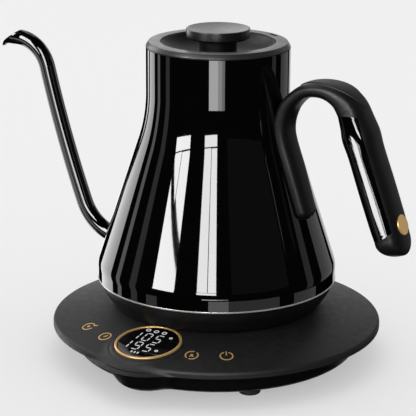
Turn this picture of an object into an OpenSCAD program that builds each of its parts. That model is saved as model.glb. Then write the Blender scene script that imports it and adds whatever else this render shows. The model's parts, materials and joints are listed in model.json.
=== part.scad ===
// Gooseneck electric kettle on a round power base.
// Origin on the table under the middle of the base; +X to the handle, -X to the spout,
// -Y to the display, +Z up. Millimetres.

/* [Power base] */
// Radius of the base plate
base_r = 94.5; // [90:0.5:114]
// Height of the base plate's lower edge above the table
base_edge_z = 17.5; // [16:0.5:22]
// Height of the straight rim of the base plate
base_rim_h = 2.4; // [2:0.2:4]
// Radius of the shallow dome on top of the base plate
dome_radius = 311; // [250:1:400]
// Wall of the plastic shells of the base
base_wall = 2.2; // [1.6:0.1:2.8]
// Radius of the lower housing at its floor
tub_floor_r = 79.5; // [77:0.5:82]
// Radius of the lower housing where it meets the base plate
tub_top_r = 87; // [84:0.5:88]
// Radius of each rubber foot
foot_r = 6.5; // [5:0.5:8]
// How far the feet hold the housing off the table
foot_h = 3; // [2:0.5:4]
// Distance of the feet from the middle
foot_circle_r = 71; // [60:1:72]
// Radius of the hole for the mains cord
cord_hole_r = 3.6; // [3:0.1:4]

/* [Display and dial] */
// Distance of the display from the middle of the base
pod_circle_r = 74.4; // [72:0.2:76]
// Height of the middle of the display above the dome there
pod_rise = 0.7; // [0.4:0.1:3]
// Tilt of the display towards the user, degrees
pod_tilt = 8.7; // [6:0.1:12]
// Outer radius of the gold dial ring
dial_r = 18.7; // [17.5:0.1:19.5]
// Width of the dial ring
dial_w = 1.5; // [1.2:0.1:1.8]
// Height of the dial ring
dial_h = 3; // [2.6:0.1:3.4]
// How far the dial stands proud of the pod
dial_proud = 0.6; // [0.3:0.1:0.8]
// Wall left round the dial
pod_rim = 1.3; // [1:0.1:2]
// Radius of the pod round the display, at the lower edge of the base plate
pod_foot_r = 28; // [26.5:0.5:29]
// Distance of the touch icons from the middle of the base
icon_circle_r = 80; // [76:0.5:84]
// Radius of a touch icon
icon_r = 3.8; // [3:0.1:4.5]
// Angle of the inner pair of icons from the display, degrees
icon_angle_in = 20.5; // [19:0.5:23]
// Angle of the outer pair of icons from the display, degrees
icon_angle_out = 34; // [31:0.5:38]

/* [Kettle body] */
// Radius of the body at its lower band
body_r = 68.3; // [60:0.1:82]
// Radius of the neck
neck_r = 40.6; // [39.5:0.1:46]
// Height of the body from the trim ring to the top of the neck
body_h = 133; // [110:0.5:160]
// Height of the upright band at the foot of the body
band_h = 8.4; // [6:0.2:12]
// Height of the corner between cone and neck, below the top of the neck
neck_h = 39.5; // [34:0.5:46]
// Fillet radius between band and cone
band_fillet = 16; // [8:1:20]
// Fillet radius between cone and neck
neck_fillet = 85; // [60:1:100]
// Steel wall of the body
body_wall = 1.0; // [0.8:0.1:1.6]
// Height of the bright trim ring
trim_h = 1.0; // [0.8:0.1:1.6]
// Radius of the cover under the body at its foot
cover_foot_r = 61; // [56:0.5:63]
// Height of the cover under the body
cover_h = 13.4; // [12.4:0.2:16]
// Gap between the kettle and the dome of the base
kettle_gap = 2.0; // [1.5:0.1:3]

/* [Connector] */
// Radius of the connector post
post_r = 13.5; // [12:0.5:14.5]
// How far the post stands above the top of the dome
post_rise = 8.4; // [7.5:0.1:9]
// Radial clearance between post and socket
post_gap = 0.3; // [0.2:0.05:0.5]

/* [Spout] */
// Outer radius of the spout at its root
spout_root_r = 4.9; // [4.7:0.1:5.4]
// Outer radius of the spout at its tip
spout_r = 4.6; // [4.4:0.1:4.9]
// Wall of the spout tube
spout_wall = 0.8; // [0.6:0.1:1]
// Height of the spout's root above the trim ring
spout_root_h = 12; // [11:0.5:16]
// Angle at which the spout leaves the body, degrees
spout_root_angle = 12; // [8:1:18]
// Straight length at the root
spout_root_run = 3; // [2:0.5:9]
// Bend radius at the root
spout_root_bend = 29; // [20:1:34]
// Angle of the spout at the top of the root bend, degrees
spout_low_angle = 69; // [64:1:72]
// Length of the nearly straight stretch
spout_reach = 82.5; // [60:0.5:96]
// Angle of the spout under the top bend, degrees
spout_high_angle = 75.5; // [74:0.5:80]
// Bend radius at the top
spout_top_bend = 21.5; // [16:0.5:32]
// Length of the level tip, to its lower lip
spout_tip = 11; // [5:0.5:14]

/* [Mouth and lid] */
// Radius of the dished lid
lid_r = 31.9; // [30.5:0.1:32.5]
// Gap round the lid
lid_gap = 0.3; // [0.2:0.05:0.5]
// Height of the collar above the neck
collar_h = 3; // [2.5:0.1:4]
// Depth of the lid's dish
dish_depth = 8.5; // [6:0.5:10]
// Depth of the lid's plug below the top of the collar
plug_depth = 19; // [17:0.5:24]
// Radius of the lid's knob
knob_r = 17.9; // [15:0.1:20]
// Thickness of the knob's head
knob_h = 5.7; // [4:0.1:7]
// Height of the knob's head above the collar
knob_rise = 1.7; // [1:0.1:4]
// Radius of the knob's stem
stem_r = 10.5; // [8:0.5:12]

/* [Handle] */
// Height of the handle's foot above the trim ring
handle_foot_h = 46; // [43:0.5:50]
// How far the handle's arch stands off the neck
arch_reach = 28.4; // [24:0.2:34]
// How far the grip's end reaches beyond the arch
grip_reach = 41; // [34:0.5:44]
// How far the grip's end hangs below the top of the arch
grip_drop = 79; // [66:0.5:92]
// Half the width of the grip
grip_half_w = 12; // [10:0.5:14]
// Half the width of the strap on the body
strap_half_w = 8.8; // [8:0.2:11]
// Half the thickness of the strap
strap_half_t = 5; // [4.4:0.1:5.6]
// Radius of the gold disc on the grip
emblem_r = 5.6; // [4:0.1:6.5]

/* [Hidden] */
$fn = 96;
big = 400;
cut = 1;

// ---- Helpers -------------------------------------------------------------------------------

// Points of an arc in the (r, z) plane
function arc(cx, cz, r, a0, a1, n = 8) =
    [for (i = [0:n]) let (a = a0 + (a1 - a0) * i / n) [cx + r * cos(a), cz + r * sin(a)]];

// Arc of radius r that rounds the corner at b on the path a-b-c
function fillet(a, b, c, r, n = 10) =
    let (u = (a - b) / norm(a - b), v = (c - b) / norm(c - b),
         half = acos(u * v) / 2, m = (u + v) / norm(u + v), o = b + m * r / sin(half),
         s = b + u * r / tan(half) - o, e = b + v * r / tan(half) - o,
         a0 = atan2(s[1], s[0]), d = atan2(e[1], e[0]) - a0,
         turn = d > 180 ? d - 360 : d < -180 ? d + 360 : d)
    arc(o[0], o[1], r, a0, a0 + turn, n);

module revolve(points) {
    rotate_extrude() polygon(points);
}

module ring(r_out, r_in, h) {
    difference() {
        cylinder(r = r_out, h = h);
        translate([0, 0, -cut]) cylinder(r = r_in, h = h + 2 * cut);
    }
}

module around(angles, r) {
    for (a = angles) rotate([0, 0, a]) translate([r, 0, 0]) children();
}

// Cross-section at station s = [x, z, half thickness, half width, dx, dz], square to the
// direction (dx, dz); power 2 is an ellipse and more is squarer
function section(s, sides, power) =
    [for (j = [0:sides - 1])
        let (a = 360 * j / sides, e = 2 / power,
             u = s[2] * sign(cos(a)) * pow(abs(cos(a)), e), v = s[3] * sign(sin(a)) * pow(abs(sin(a)), e))
        [s[0] + u * s[5], v, s[1] - u * s[4]]];

// Solid through the cross-sections at a list of stations
module loft(stations, sides, power) {
    n = len(stations);
    m = sides;
    polyhedron(
        points = [for (s = stations) each section(s, sides, power)],
        faces = concat(
            [[for (j = [0:m - 1]) j]],
            [for (i = [0:n - 2], j = [0:m - 1])
                [i * m + j, (i + 1) * m + j, (i + 1) * m + (j + 1) % m, i * m + (j + 1) % m]],
            [[for (j = [m - 1:-1:0]) (n - 1) * m + j]]));
}

// A screw with its head at z = 0 and its shank up +Z
module screw(shank_r, shank_l, head_r, head_h) {
    difference() {
        union() {
            translate([0, 0, -head_h]) cylinder(r = head_r, h = head_h);
            cylinder(r = shank_r, h = shank_l);
        }
        for (a = [0, 90]) rotate([0, 0, a])
            translate([-head_r * 0.6, -0.4, -head_h - cut]) cube([head_r * 1.2, 0.8, cut + 0.8]);
    }
}

// ---- Base: derived sizes -------------------------------------------------------------------

rim_round = 1.4;
rim_z = base_edge_z + base_rim_h;
// The dome passes through the top of the rim's rounding
dome_cz = rim_z - sqrt(pow(dome_radius - rim_round, 2) - pow(base_r - rim_round, 2));
function dome_z(r, off = 0) = dome_cz + sqrt(pow(dome_radius + off, 2) - r * r);
function dome_slope(r) = asin(r / dome_radius);
dome_top_z = dome_z(0);
floor_top_z = foot_h + base_wall;
seat_gap = 0.2;
post_hole_r = post_r + 1.5;
boss_circle_r = 50;
boss_angles = [20, 160, 200, 340];
boss_r = 3.6;
screw_r = 1.5;
screw_head_r = 2.9;
foot_angles = [45, 135, 225, 315];
foot_recess = 1;

// Frame of the display: origin at the middle of its face, +Z out of it
pod_z = dome_z(pod_circle_r) + pod_rise;
module at_display() {
    translate([0, -pod_circle_r, pod_z]) rotate([pod_tilt, 0, 0]) children();
}
dial_gap = 0.3;
dial_bore_r = dial_r + dial_gap;
pod_top_r = dial_bore_r + pod_rim;
deck_depth = dial_h + 0.4;
deck_t = 1.8;
ledge_t = 1.6;
ledge_w = 1.6;
cup_depth = deck_depth + deck_t + ledge_t;
pod_wall = base_wall + 0.6;
flange_t = 1.6;
lobe_floor_r = 16;

// Flared body of the pod, from its foot to the tilted display face; inset makes the hollow in it
module pod_form(inset) {
    hull() {
        at_display() translate([0, 0, -dial_proud - 0.1]) cylinder(r = pod_top_r - inset, h = 0.1);
        translate([0, -pod_circle_r, base_edge_z - (inset > 0 ? cut : 0)])
            cylinder(r = pod_foot_r - inset, h = 0.1);
    }
}

icon_angles = [-icon_angle_out, -icon_angle_in, icon_angle_in, icon_angle_out];
icon_t = 0.6;
icon_proud = 0.12;
icon_line = 0.75;
// Frame of touch icon i: on the dome, +Z out of it, +Y to the middle of the base
module at_icon(i) {
    rotate([0, 0, icon_angles[i]]) translate([0, -icon_circle_r, dome_z(icon_circle_r)])
        rotate([dome_slope(icon_circle_r), 0, 0]) children();
}

// ---- Base: sub-parts -----------------------------------------------------------------------

// The space under the dome of the base plate
module dome_hollow() {
    inner_r = base_r - base_wall;
    revolve(concat([[0, 0], [inner_r, 0]],
                   [for (i = [8:-1:0]) let (r = inner_r * i / 8) [r, dome_z(r) - base_wall]]));
}

module base_plate() {
    edge_r = base_r - rim_round;
    color("#2b2b2c") difference() {
        union() {
            difference() {
                union() {
                    revolve(concat(
                        [[0, base_edge_z]],
                        [for (i = [0:16]) let (r = edge_r * i / 16) [r, dome_z(r)]],
                        arc(edge_r, rim_z, rim_round, 72, 0, 5),
                        [[base_r, base_edge_z]]));
                    pod_form(0);
                }
                dome_hollow();
                pod_form(pod_wall);
            }
            // Cup that holds the display
            at_display() translate([0, 0, -cup_depth]) cylinder(r = pod_top_r, h = cup_depth - dial_proud);
            around(boss_angles, boss_circle_r) translate([0, 0, floor_top_z])
                cylinder(r = boss_r, h = dome_z(boss_circle_r + boss_r) - 1 - floor_top_z);
        }
        cylinder(r = post_hole_r, h = big);
        // Bore for the dial, over the ledge for the carrier
        at_display() {
            translate([0, 0, ledge_t - cup_depth]) cylinder(r = dial_bore_r, h = 20);
            translate([0, 0, -cup_depth - cut]) cylinder(r = dial_bore_r - ledge_w, h = 8);
        }
        around(boss_angles, boss_circle_r) translate([0, 0, floor_top_z - cut])
            cylinder(r = screw_r - 0.25, h = 12);
        for (i = [0:3]) at_icon(i) translate([0, 0, -icon_t + icon_proud])
            linear_extrude(icon_t + cut) icon_shape(i);
    }
}

module base_housing() {
    flange_r = base_r - base_wall - seat_gap;
    color("#151515") difference() {
        union() {
            revolve(concat(
                [[0, foot_h]],
                fillet([0, foot_h], [tub_floor_r, foot_h], [tub_top_r, base_edge_z], 3, 5),
                [[tub_top_r, base_edge_z], [flange_r, base_edge_z], [flange_r, base_edge_z + flange_t],
                 [0, base_edge_z + flange_t]]
            ));
            lobe(0);
            translate([0, -pod_circle_r, base_edge_z]) cylinder(r = pod_foot_r - pod_wall - 2.8, h = flange_t);
            inlet_seat();
        }
        difference() {
            union() {
                revolve([[0, floor_top_z], [tub_floor_r - base_wall, floor_top_z],
                         [tub_top_r - base_wall, base_edge_z], [tub_top_r - base_wall, big], [0, big]]);
                lobe(base_wall);
            }
            inlet_seat();
            // Standoffs under the power board
            for (x = [-1, 1], y = [-1, 1])
                translate([x * (board_l / 2 - 4), board_y + y * (board_d / 2 - 4), 0])
                    cylinder(r = 2.6, h = board_z);
        }
        around(boss_angles, boss_circle_r) {
            cylinder(r = screw_r + 0.3, h = floor_top_z + cut);
            translate([0, 0, foot_h - cut]) cylinder(r = screw_head_r + 0.3, h = cut + 0.9);
        }
        around(foot_angles, foot_circle_r) cylinder(r = foot_r, h = foot_h + foot_recess);
        translate([0, inlet_y0, inlet_z]) rotate([-90, 0, 0]) {
            translate([0, 0, -cut]) cylinder(r = inlet_body_r + 0.05, h = inlet_l + 2 * cut);
            translate([0, 0, -inlet_lip - 0.1]) cylinder(r = inlet_lip_r + 0.1, h = inlet_lip + 0.1);
            translate([0, 0, inlet_l]) cylinder(r = inlet_lip_r + 0.1, h = 4);
        }
    }
}

// Flat seat for the cord inlet
module inlet_seat() {
    intersection() {
        translate([0, inlet_y0, inlet_z]) rotate([-90, 0, 0]) cylinder(r = inlet_seat_r, h = inlet_l);
        translate([-big / 2, 0, foot_h]) cube([big, big, base_edge_z - foot_h]);
    }
}

module lobe(inset) {
    h = base_edge_z - foot_h;
    bottom = inset > 0 ? floor_top_z : foot_h;
    r_at_bottom = lobe_floor_r + (pod_foot_r - 3 - lobe_floor_r) * (bottom - foot_h) / h - inset;
    translate([0, -pod_circle_r, bottom])
        cylinder(r1 = r_at_bottom, r2 = pod_foot_r - 3 - inset, h = base_edge_z - bottom + (inset > 0 ? 10 : 0));
}

inlet_z = (foot_h + base_edge_z) / 2;
inlet_body_r = cord_hole_r + 1.4;
inlet_seat_r = inlet_body_r + 2;
inlet_y0 = tub_floor_r - 6;
inlet_l = 13;
inlet_lip = 1.6;
inlet_lip_r = inlet_body_r + 1.6;

module base_feet() {
    color("#0d0d0d") around(foot_angles, foot_circle_r)
        revolve([[0, 0], [foot_r - 1, 0], [foot_r - 0.2, 0.8], [foot_r - 0.2, foot_h + foot_recess],
                 [0, foot_h + foot_recess]]);
}

module base_screws() {
    color("silver") around(boss_angles, boss_circle_r) translate([0, 0, foot_h + 0.9])
        screw(screw_r - 0.25, 11, screw_head_r, 0.85);
}

post_top_z = dome_top_z + post_rise;
flange_top_z = dome_z(post_hole_r + 8) - base_wall - 0.1;
earth_r = 2.6;
groove_in = 7;
groove_out = 8.6;
groove_depth = 7;

module base_connector() {
    color("#1a1a1a") difference() {
        revolve([[0, 14], [post_r + 2, 14], [post_r + 2, flange_top_z - 2],
                 [post_hole_r + 8, flange_top_z - 2], [post_hole_r + 8, flange_top_z],
                 [post_r, flange_top_z], [post_r, post_top_z - 1], [post_r - 1, post_top_z],
                 [0, post_top_z]]);
        translate([0, 0, post_top_z - groove_depth]) {
            cylinder(r = earth_r, h = big);
            ring(groove_out, groove_in, big);
        }
    }
}

module connector_contacts() {
    color("#c9a24a") translate([0, 0, post_top_z - groove_depth]) {
        ring(groove_out, groove_out - 0.5, groove_depth - 1.5);
        ring(groove_in + 0.5, groove_in, groove_depth - 1.5);
    }
}

module cord_inlet() {
    color("#101010") translate([0, inlet_y0 - inlet_lip, inlet_z]) rotate([-90, 0, 0]) difference() {
        union() {
            cylinder(r = inlet_lip_r, h = inlet_lip);
            cylinder(r = inlet_body_r, h = inlet_l + 2 * inlet_lip);
            translate([0, 0, inlet_l + inlet_lip]) cylinder(r = inlet_lip_r, h = inlet_lip);
        }
        translate([0, 0, -cut]) cylinder(r = cord_hole_r, h = inlet_l + 2 * inlet_lip + 2 * cut);
    }
}

board_l = 72;
board_d = 36;
board_y = 43;
board_z = 9;
board_t = 1.6;

module terminal_block() {
    color("#3d5a3c") translate([0, 0, floor_top_z]) difference() {
        translate([-9, board_y + board_d / 2 + 1.5, 0]) cube([18, 6, 10]);
        for (x = [-6, 0, 6]) translate([x, board_y + board_d / 2 + 4.5, 4]) cylinder(r = 1.6, h = 10);
    }
}

module power_board() {
    color("#27543a") difference() {
        translate([-board_l / 2, board_y - board_d / 2, board_z]) cube([board_l, board_d, board_t]);
        for (x = [-1, 1], y = [-1, 1])
            translate([x * (board_l / 2 - 4), board_y + y * (board_d / 2 - 4), 0]) cylinder(r = 1.4, h = big);
    }
}

module relay() {
    color("#20304f") translate([-28, board_y - 9, board_z + board_t]) cube([20, 16, 12]);
}

module transformer() {
    color("#8a7a3a") translate([6, board_y - 10, board_z + board_t]) {
        cube([22, 18, 9]);
        translate([5, 2, 9]) cube([12, 14, 3]);
    }
}

touch_board_z = base_edge_z + flange_t;
touch_board_t = 1.2;
touch_board_angle = (icon_angle_in + icon_angle_out) / 2 + 1.3;

module touch_boards() {
    color("#27543a") for (side = [-1, 1]) rotate([0, 0, side * touch_board_angle]) intersection() {
        translate([0, 0, touch_board_z]) ring(icon_circle_r + 7, icon_circle_r - 6, touch_board_t);
        sector_below(icon_angle_out - icon_angle_in + 7);
    }
}

// Wedge that opens towards -Y
module sector_below(angle) {
    rotate([0, 0, -90]) linear_extrude(60)
        polygon([[0, 0], [110 * cos(angle / 2), -110 * sin(angle / 2)],
                 [110 * cos(angle / 2), 110 * sin(angle / 2)]]);
}

module touch_springs() {
    color("silver") for (i = [0:3]) rotate([0, 0, icon_angles[i]])
        translate([0, -icon_circle_r, touch_board_z + touch_board_t]) difference() {
            cylinder(r = 2.6, h = dome_z(icon_circle_r + 2.6) - base_wall - touch_board_z - touch_board_t - 0.2);
            translate([0, 0, -cut]) cylinder(r = 2, h = 20);
        }
}

module touch_icons() {
    color("#cfae62") for (i = [0:3]) at_icon(i) translate([0, 0, -icon_t + icon_proud])
        linear_extrude(icon_t) icon_shape(i);
}

module icon_ring() {
    difference() {
        circle(r = icon_r);
        circle(r = icon_r - icon_line);
    }
}

// 0: keep warm, 1: timer, 2: unit switch, 3: power
module icon_shape(i) {
    difference() {
        icon_ring();
        if (i == 0) rotate([0, 0, 30]) translate([0, -1.1]) square([icon_r + 1, 2.2]);
        if (i == 2) for (a = [60, 240]) rotate([0, 0, a]) translate([0, -0.7]) square([icon_r + 1, 1.4]);
        if (i == 3) translate([-1.2, 0]) square([2.4, icon_r + 1]);
    }
    if (i == 0) {
        circle(r = 1);
        rotate([0, 0, 52]) translate([icon_r - icon_line, -icon_line / 2]) square([2.6, icon_line]);
    }
    if (i == 1) rotate([0, 0, 60]) translate([-0.8, -icon_line / 2]) square([2.6, icon_line]);
    if (i == 2) for (a = [-35, 35]) rotate([0, 0, a]) translate([-icon_line / 2, -1.6]) square([icon_line, 2.6]);
    if (i == 3) translate([-icon_line / 2, 0.6]) square([icon_line, icon_r - 0.4]);
}

bearing_r = dial_r - dial_w - dial_gap;
lens_r = dial_r - dial_w - 0.2;
lens_t = 1.3;
lens_sink = 0.25;

module display_carrier() {
    color("#1a1a1a") at_display() translate([0, 0, -deck_depth - deck_t]) {
        ring(dial_bore_r - 0.1, 6, deck_t);
        translate([0, 0, deck_t]) ring(bearing_r, bearing_r - 2, deck_depth - lens_sink - lens_t);
    }
}

module dial_encoder() {
    color("#27543a") at_display() translate([0, 0, -deck_depth])
        ring(dial_r, dial_r - dial_w, 0.2);
}

module display_board() {
    color("#27543a") at_display() translate([0, 0, -deck_depth]) cylinder(r = bearing_r - 2.3, h = 1.4);
}

module display_lens() {
    color("#070708") at_display() translate([0, 0, -lens_sink - lens_t]) cylinder(r = lens_r, h = lens_t);
}

// ---- Display digits ------------------------------------------------------------------------

digit_h = 8;
digit_w = 4.4;
stroke = 0.55;
// Which of the seven strokes each digit lights: top, upper left, upper right, middle,
// lower left, lower right, bottom
LIT = [[1, 1, 1, 0, 1, 1, 1], [0, 0, 1, 0, 0, 1, 0], [1, 0, 1, 1, 1, 0, 1], [1, 0, 1, 1, 0, 1, 1],
       [0, 1, 1, 1, 0, 1, 0], [1, 1, 0, 1, 0, 1, 1], [1, 1, 0, 1, 1, 1, 1], [1, 0, 1, 0, 0, 1, 0],
       [1, 1, 1, 1, 1, 1, 1], [1, 1, 1, 1, 0, 1, 1]];

module bar(x, y, upright) {
    l = upright ? digit_h / 2 - 1.5 : digit_w - 1.8;
    translate([x, y]) rotate([0, 0, upright ? 90 : 0])
        polygon([[-l / 2, -stroke / 2], [l / 2, -stroke / 2], [l / 2 + stroke / 2, 0],
                 [l / 2, stroke / 2], [-l / 2, stroke / 2], [-l / 2 - stroke / 2, 0]]);
}

module digit(n) {
    x = digit_w / 2 - stroke / 2;
    y = digit_h / 4;
    s = LIT[n];
    if (s[0]) bar(0, 2 * y, false);
    if (s[1]) bar(-x, y, true);
    if (s[2]) bar(x, y, true);
    if (s[3]) bar(0, 0, false);
    if (s[4]) bar(-x, -y, true);
    if (s[5]) bar(x, -y, true);
    if (s[6]) bar(0, -2 * y, false);
}

module number(digits, y) {
    for (i = [0:2]) translate([-10.6 + 7.1 * i, y]) digit(digits[i]);
}

module display_segments() {
    color("white") at_display() translate([0, 0, -lens_sink]) linear_extrude(0.12) {
        number([1, 0, 5], 4.7);
        number([1, 9, 5], -5.6);
        for (y = [8.4, -7]) translate([9.4, y]) difference() {
            circle(r = 1);
            circle(r = 0.5);
        }
        for (x = [-7.2, -2.1, 3]) translate([x, 12.1]) difference() {
            circle(r = 1.5);
            circle(r = 0.9);
        }
        for (x = [-2, 0, 2]) translate([x - 0.9, -12.6]) square([0.8, 1.6], center = true);
    }
}

module dial_ring() {
    color("#cfae62") at_display() translate([0, 0, -dial_h])
        revolve([[dial_r - dial_w, 0], [dial_r, 0], [dial_r, dial_h - 0.4], [dial_r - 0.4, dial_h],
                 [dial_r - dial_w + 0.4, dial_h], [dial_r - dial_w, dial_h - 0.4]]);
}

// ---- Kettle: derived sizes -----------------------------------------------------------------

cover_foot_z = dome_z(cover_foot_r) + kettle_gap;
trim_z = cover_foot_z + cover_h;
body_z = trim_z + trim_h;
neck_top_z = body_z + body_h;
cone_z0 = body_z + band_h;
cone_z1 = neck_top_z - neck_h;
cone_angle = atan((body_r - neck_r) / (cone_z1 - cone_z0));

// Radius of the body's outside at height z, without the fillets
function wall_r(z) =
    z < cone_z0 ? body_r : z > cone_z1 ? neck_r
    : body_r - (body_r - neck_r) * (z - cone_z0) / (cone_z1 - cone_z0);

// Outline of the body, moved inwards by w, from the bottom up
function body_outline(w) =
    let (t = w * tan(cone_angle / 2), a = [body_r - w, body_z], b = [body_r - w, cone_z0 - t],
         c = [neck_r - w, cone_z1 - t], d = [neck_r - w, neck_top_z])
    concat([a], fillet(a, b, c, band_fillet - w, 8), fillet(b, c, d, neck_fillet + w, 14), [d]);

function reversed(list) = [for (i = [len(list) - 1:-1:0]) list[i]];

// The body's outside as one solid, grown by gap
module body_solid(gap = 0) {
    revolve(concat([[0, body_z]], body_outline(-gap), [[0, neck_top_z]]));
}

cover_floor_z = dome_top_z + kettle_gap;
cover_wall = 2;
cover_hole_r = post_r + 4.8;
plate_z = body_z + 4;
plate_t = 1.2;
element_plate_r = 47;
element_plate_t = 3;
element_r = 3.3;
element_circle_r = 38;
element_z = plate_z - element_plate_t - element_r;
stud_circle_r = 53;
stud_angles = [30, 150, 270];
stud_r = 3;
probe_r = 2.5;
probe_y = -28;

// ---- Kettle: sub-parts ---------------------------------------------------------------------

socket_gap = 0.3;
socket_roof_z = post_top_z + 0.5;
module kettle_socket() {
    inner_r = post_r + post_gap;
    outer_r = cover_hole_r - socket_gap;
    lip_z = cover_floor_z + cover_wall + socket_gap;
    color("#222222") revolve([
        [inner_r, cover_floor_z + 0.2], [outer_r, cover_floor_z + 0.2], [outer_r, lip_z],
        [outer_r + 4, lip_z], [outer_r + 4, lip_z + 1.4], [outer_r, lip_z + 1.4],
        [outer_r, socket_roof_z + 1.8], [0, socket_roof_z + 1.8], [0, socket_roof_z],
        [inner_r, socket_roof_z]]);
}

module socket_pin() {
    color("#c9a24a") translate([0, 0, post_top_z - groove_depth + 1.5])
        cylinder(r = earth_r - 0.5, h = groove_depth - 1.5 + socket_roof_z - post_top_z);
}

module body_shell() {
    color("#0a0a0b") difference() {
        revolve(concat(body_outline(0), reversed(body_outline(body_wall))));
        // Strainer: the holes that lead into the spout
        at_spout_root() rotate([0, 90, 0]) {
            translate([0, 0, -20]) cylinder(r = strainer_hole_r, h = 40);
            for (a = [0:60:300]) rotate([0, 0, a]) translate([strainer_pitch, 0, -20])
                cylinder(r = strainer_hole_r, h = 40);
        }
    }
}
strainer_hole_r = 0.9;
strainer_pitch = 2.5;

module trim_ring() {
    color("#d8d8d8") translate([0, 0, trim_z]) ring(body_r + 0.15, body_r - 2, trim_h);
}

module bottom_cover() {
    top_r = body_r - 1.3;
    color("#0f0f0f") difference() {
        revolve(concat(
            [[cover_hole_r, cover_floor_z], [cover_foot_r - 3.5, cover_floor_z],
             [cover_foot_r - 2.8, cover_foot_z], [cover_foot_r - 1, cover_foot_z]],
            [[cover_foot_r, cover_foot_z + 1.2]],
            fillet([cover_foot_r, cover_foot_z + 1.2], [top_r - 1, trim_z - 5], [top_r, trim_z], 16, 6),
            [[top_r, trim_z], [top_r - cover_wall, trim_z],
             [top_r - cover_wall - 1, trim_z - 5.4], [cover_foot_r - 1.6, cover_floor_z + cover_wall],
             [cover_hole_r, cover_floor_z + cover_wall]]
        ));
        around(stud_angles, stud_circle_r) translate([0, 0, cover_floor_z - cut]) {
            cylinder(r = screw_r + 0.2, h = 10);
            cylinder(r = screw_head_r + 0.2, h = cut + 0.9);
        }
    }
}

module cover_screws() {
    color("silver") around(stud_angles, stud_circle_r) translate([0, 0, cover_floor_z + 0.9])
        screw(screw_r - 0.25, 7, screw_head_r, 0.8);
}

module heating_plate() {
    color("#b8b8ba") difference() {
        union() {
            translate([0, 0, plate_z]) cylinder(r = body_r - body_wall, h = plate_t);
            around(stud_angles, stud_circle_r) translate([0, 0, cover_floor_z + cover_wall])
                cylinder(r = stud_r, h = plate_z + 0.4 - cover_floor_z - cover_wall);
        }
        around(stud_angles, stud_circle_r) translate([0, 0, cover_floor_z])
            cylinder(r = screw_r - 0.25, h = plate_z - 1 - cover_floor_z);
        translate([0, probe_y, plate_z - cut]) cylinder(r = probe_r, h = 10);
    }
}

module element_plate() {
    color("#a9acb0") translate([0, 0, plate_z - element_plate_t]) difference() {
        cylinder(r = element_plate_r, h = element_plate_t);
        translate([0, probe_y, -cut]) cylinder(r = probe_r, h = 10);
    }
}

module heating_element() {
    color("#77736a") translate([0, 0, element_z]) rotate([0, 0, -250])
        rotate_extrude(angle = 320) translate([element_circle_r, 0]) circle(r = element_r);
}

module temperature_sensor() {
    color("#c8c8c8") translate([0, probe_y, element_z - 3])
        cylinder(r = probe_r, h = plate_z + plate_t + 2.5 - element_z + 3);
}

module thermal_cutout() {
    color("#e6e0cf") translate([cover_hole_r + 5.2, -6, plate_z - element_plate_t - 5]) cube([8, 12, 5]);
}

// ---- Spout ---------------------------------------------------------------------------------

spout_root_z = body_z + spout_root_h - 1;
spout_root_x = -wall_r(spout_root_z);
// Frame at the spout's root: +X inwards along the root
module at_spout_root() {
    translate([spout_root_x, 0, spout_root_z]) rotate([0, spout_root_angle, 0]) children();
}

// Spout points are [distance from the axis, height]; directions are degrees above level
function along(p, angle, l) = p + l * [cos(angle), sin(angle)];
// Centre of a bend that starts at p in direction angle and turns towards side (1: up, -1: down)
function bend_centre(p, angle, r, side) = p + side * r * [-sin(angle), cos(angle)];
function bend_end(c, angle, r, side) = c + side * r * [sin(angle), -cos(angle)];

s0 = along([-spout_root_x, spout_root_z], spout_root_angle, -6);
s1 = along(s0, spout_root_angle, 6 + spout_root_run);
c1 = bend_centre(s1, spout_root_angle, spout_root_bend, 1);
s2 = bend_end(c1, spout_low_angle, spout_root_bend, 1);
long_bend = spout_reach / ((spout_high_angle - spout_low_angle) * PI / 180);
c2 = bend_centre(s2, spout_low_angle, long_bend, 1);
s3 = bend_end(c2, spout_high_angle, long_bend, 1);
c3 = bend_centre(s3, spout_high_angle, spout_top_bend, -1);
s4 = bend_end(c3, 0, spout_top_bend, -1);
lip_slope = 55;

// Points and directions along a bend: [x, z, dx, dz]
function bend(c, r, side, a0, a1, n) =
    [for (i = [0:n]) let (a = a0 + (a1 - a0) * i / n, p = bend_end(c, a, r, side))
        [p[0], p[1], cos(a), sin(a)]];
spout_path = concat(
    [[s0[0], s0[1], cos(spout_root_angle), sin(spout_root_angle)]],
    bend(c1, spout_root_bend, 1, spout_root_angle, spout_low_angle, 7),
    [for (i = [1:9]) bend(c2, long_bend, 1, spout_low_angle, spout_high_angle, 10)[i]],
    bend(c3, spout_top_bend, -1, spout_high_angle, 0, 9),
    [[s4[0] + spout_tip + 12, s4[1], 1, 0]]);
spout_n = len(spout_path);

// The spout as a solid, inset by its wall for the bore
module spout_run(inset) {
    mirror([1, 0, 0]) loft([for (i = [0:spout_n - 1])
        let (p = spout_path[i], r = spout_root_r + (spout_r - spout_root_r) * i / (spout_n - 1) - inset,
             past = inset > 0 ? (i == 0 ? -1 : i == spout_n - 1 ? 1 : 0) : 0)
        [p[0] + past * p[2], p[1] + past * p[3], r, r, p[2], p[3]]], 20, 2);
}

module spout_tube() {
    color("#0a0a0b") difference() {
        spout_run(0);
        spout_run(spout_wall);
        body_solid();
        // The mouth slopes back from its lower lip
        translate([-s4[0] - spout_tip, 0, s4[1] - spout_r]) rotate([0, lip_slope, 0])
            translate([-40, -20, -20]) cube([40, 40, 60]);
    }
}

module spout_collar() {
    color("#0a0a0b") difference() {
        at_spout_root() rotate([0, -90, 0]) difference() {
            translate([0, 0, -3]) cylinder(r1 = spout_root_r + 4, r2 = spout_root_r + 0.3, h = 8);
            translate([0, 0, -10]) cylinder(r = spout_root_r + 0.02, h = 20);
        }
        body_solid();
    }
}

// ---- Mouth and lid -------------------------------------------------------------------------

collar_z = neck_top_z + collar_h;
ledge_z = collar_z - 3.4;
sleeve_r = lid_r - 0.9;
plug_r = sleeve_r - 0.8;
plug_z = collar_z - plug_depth;
vent_angle = 60;

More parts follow.
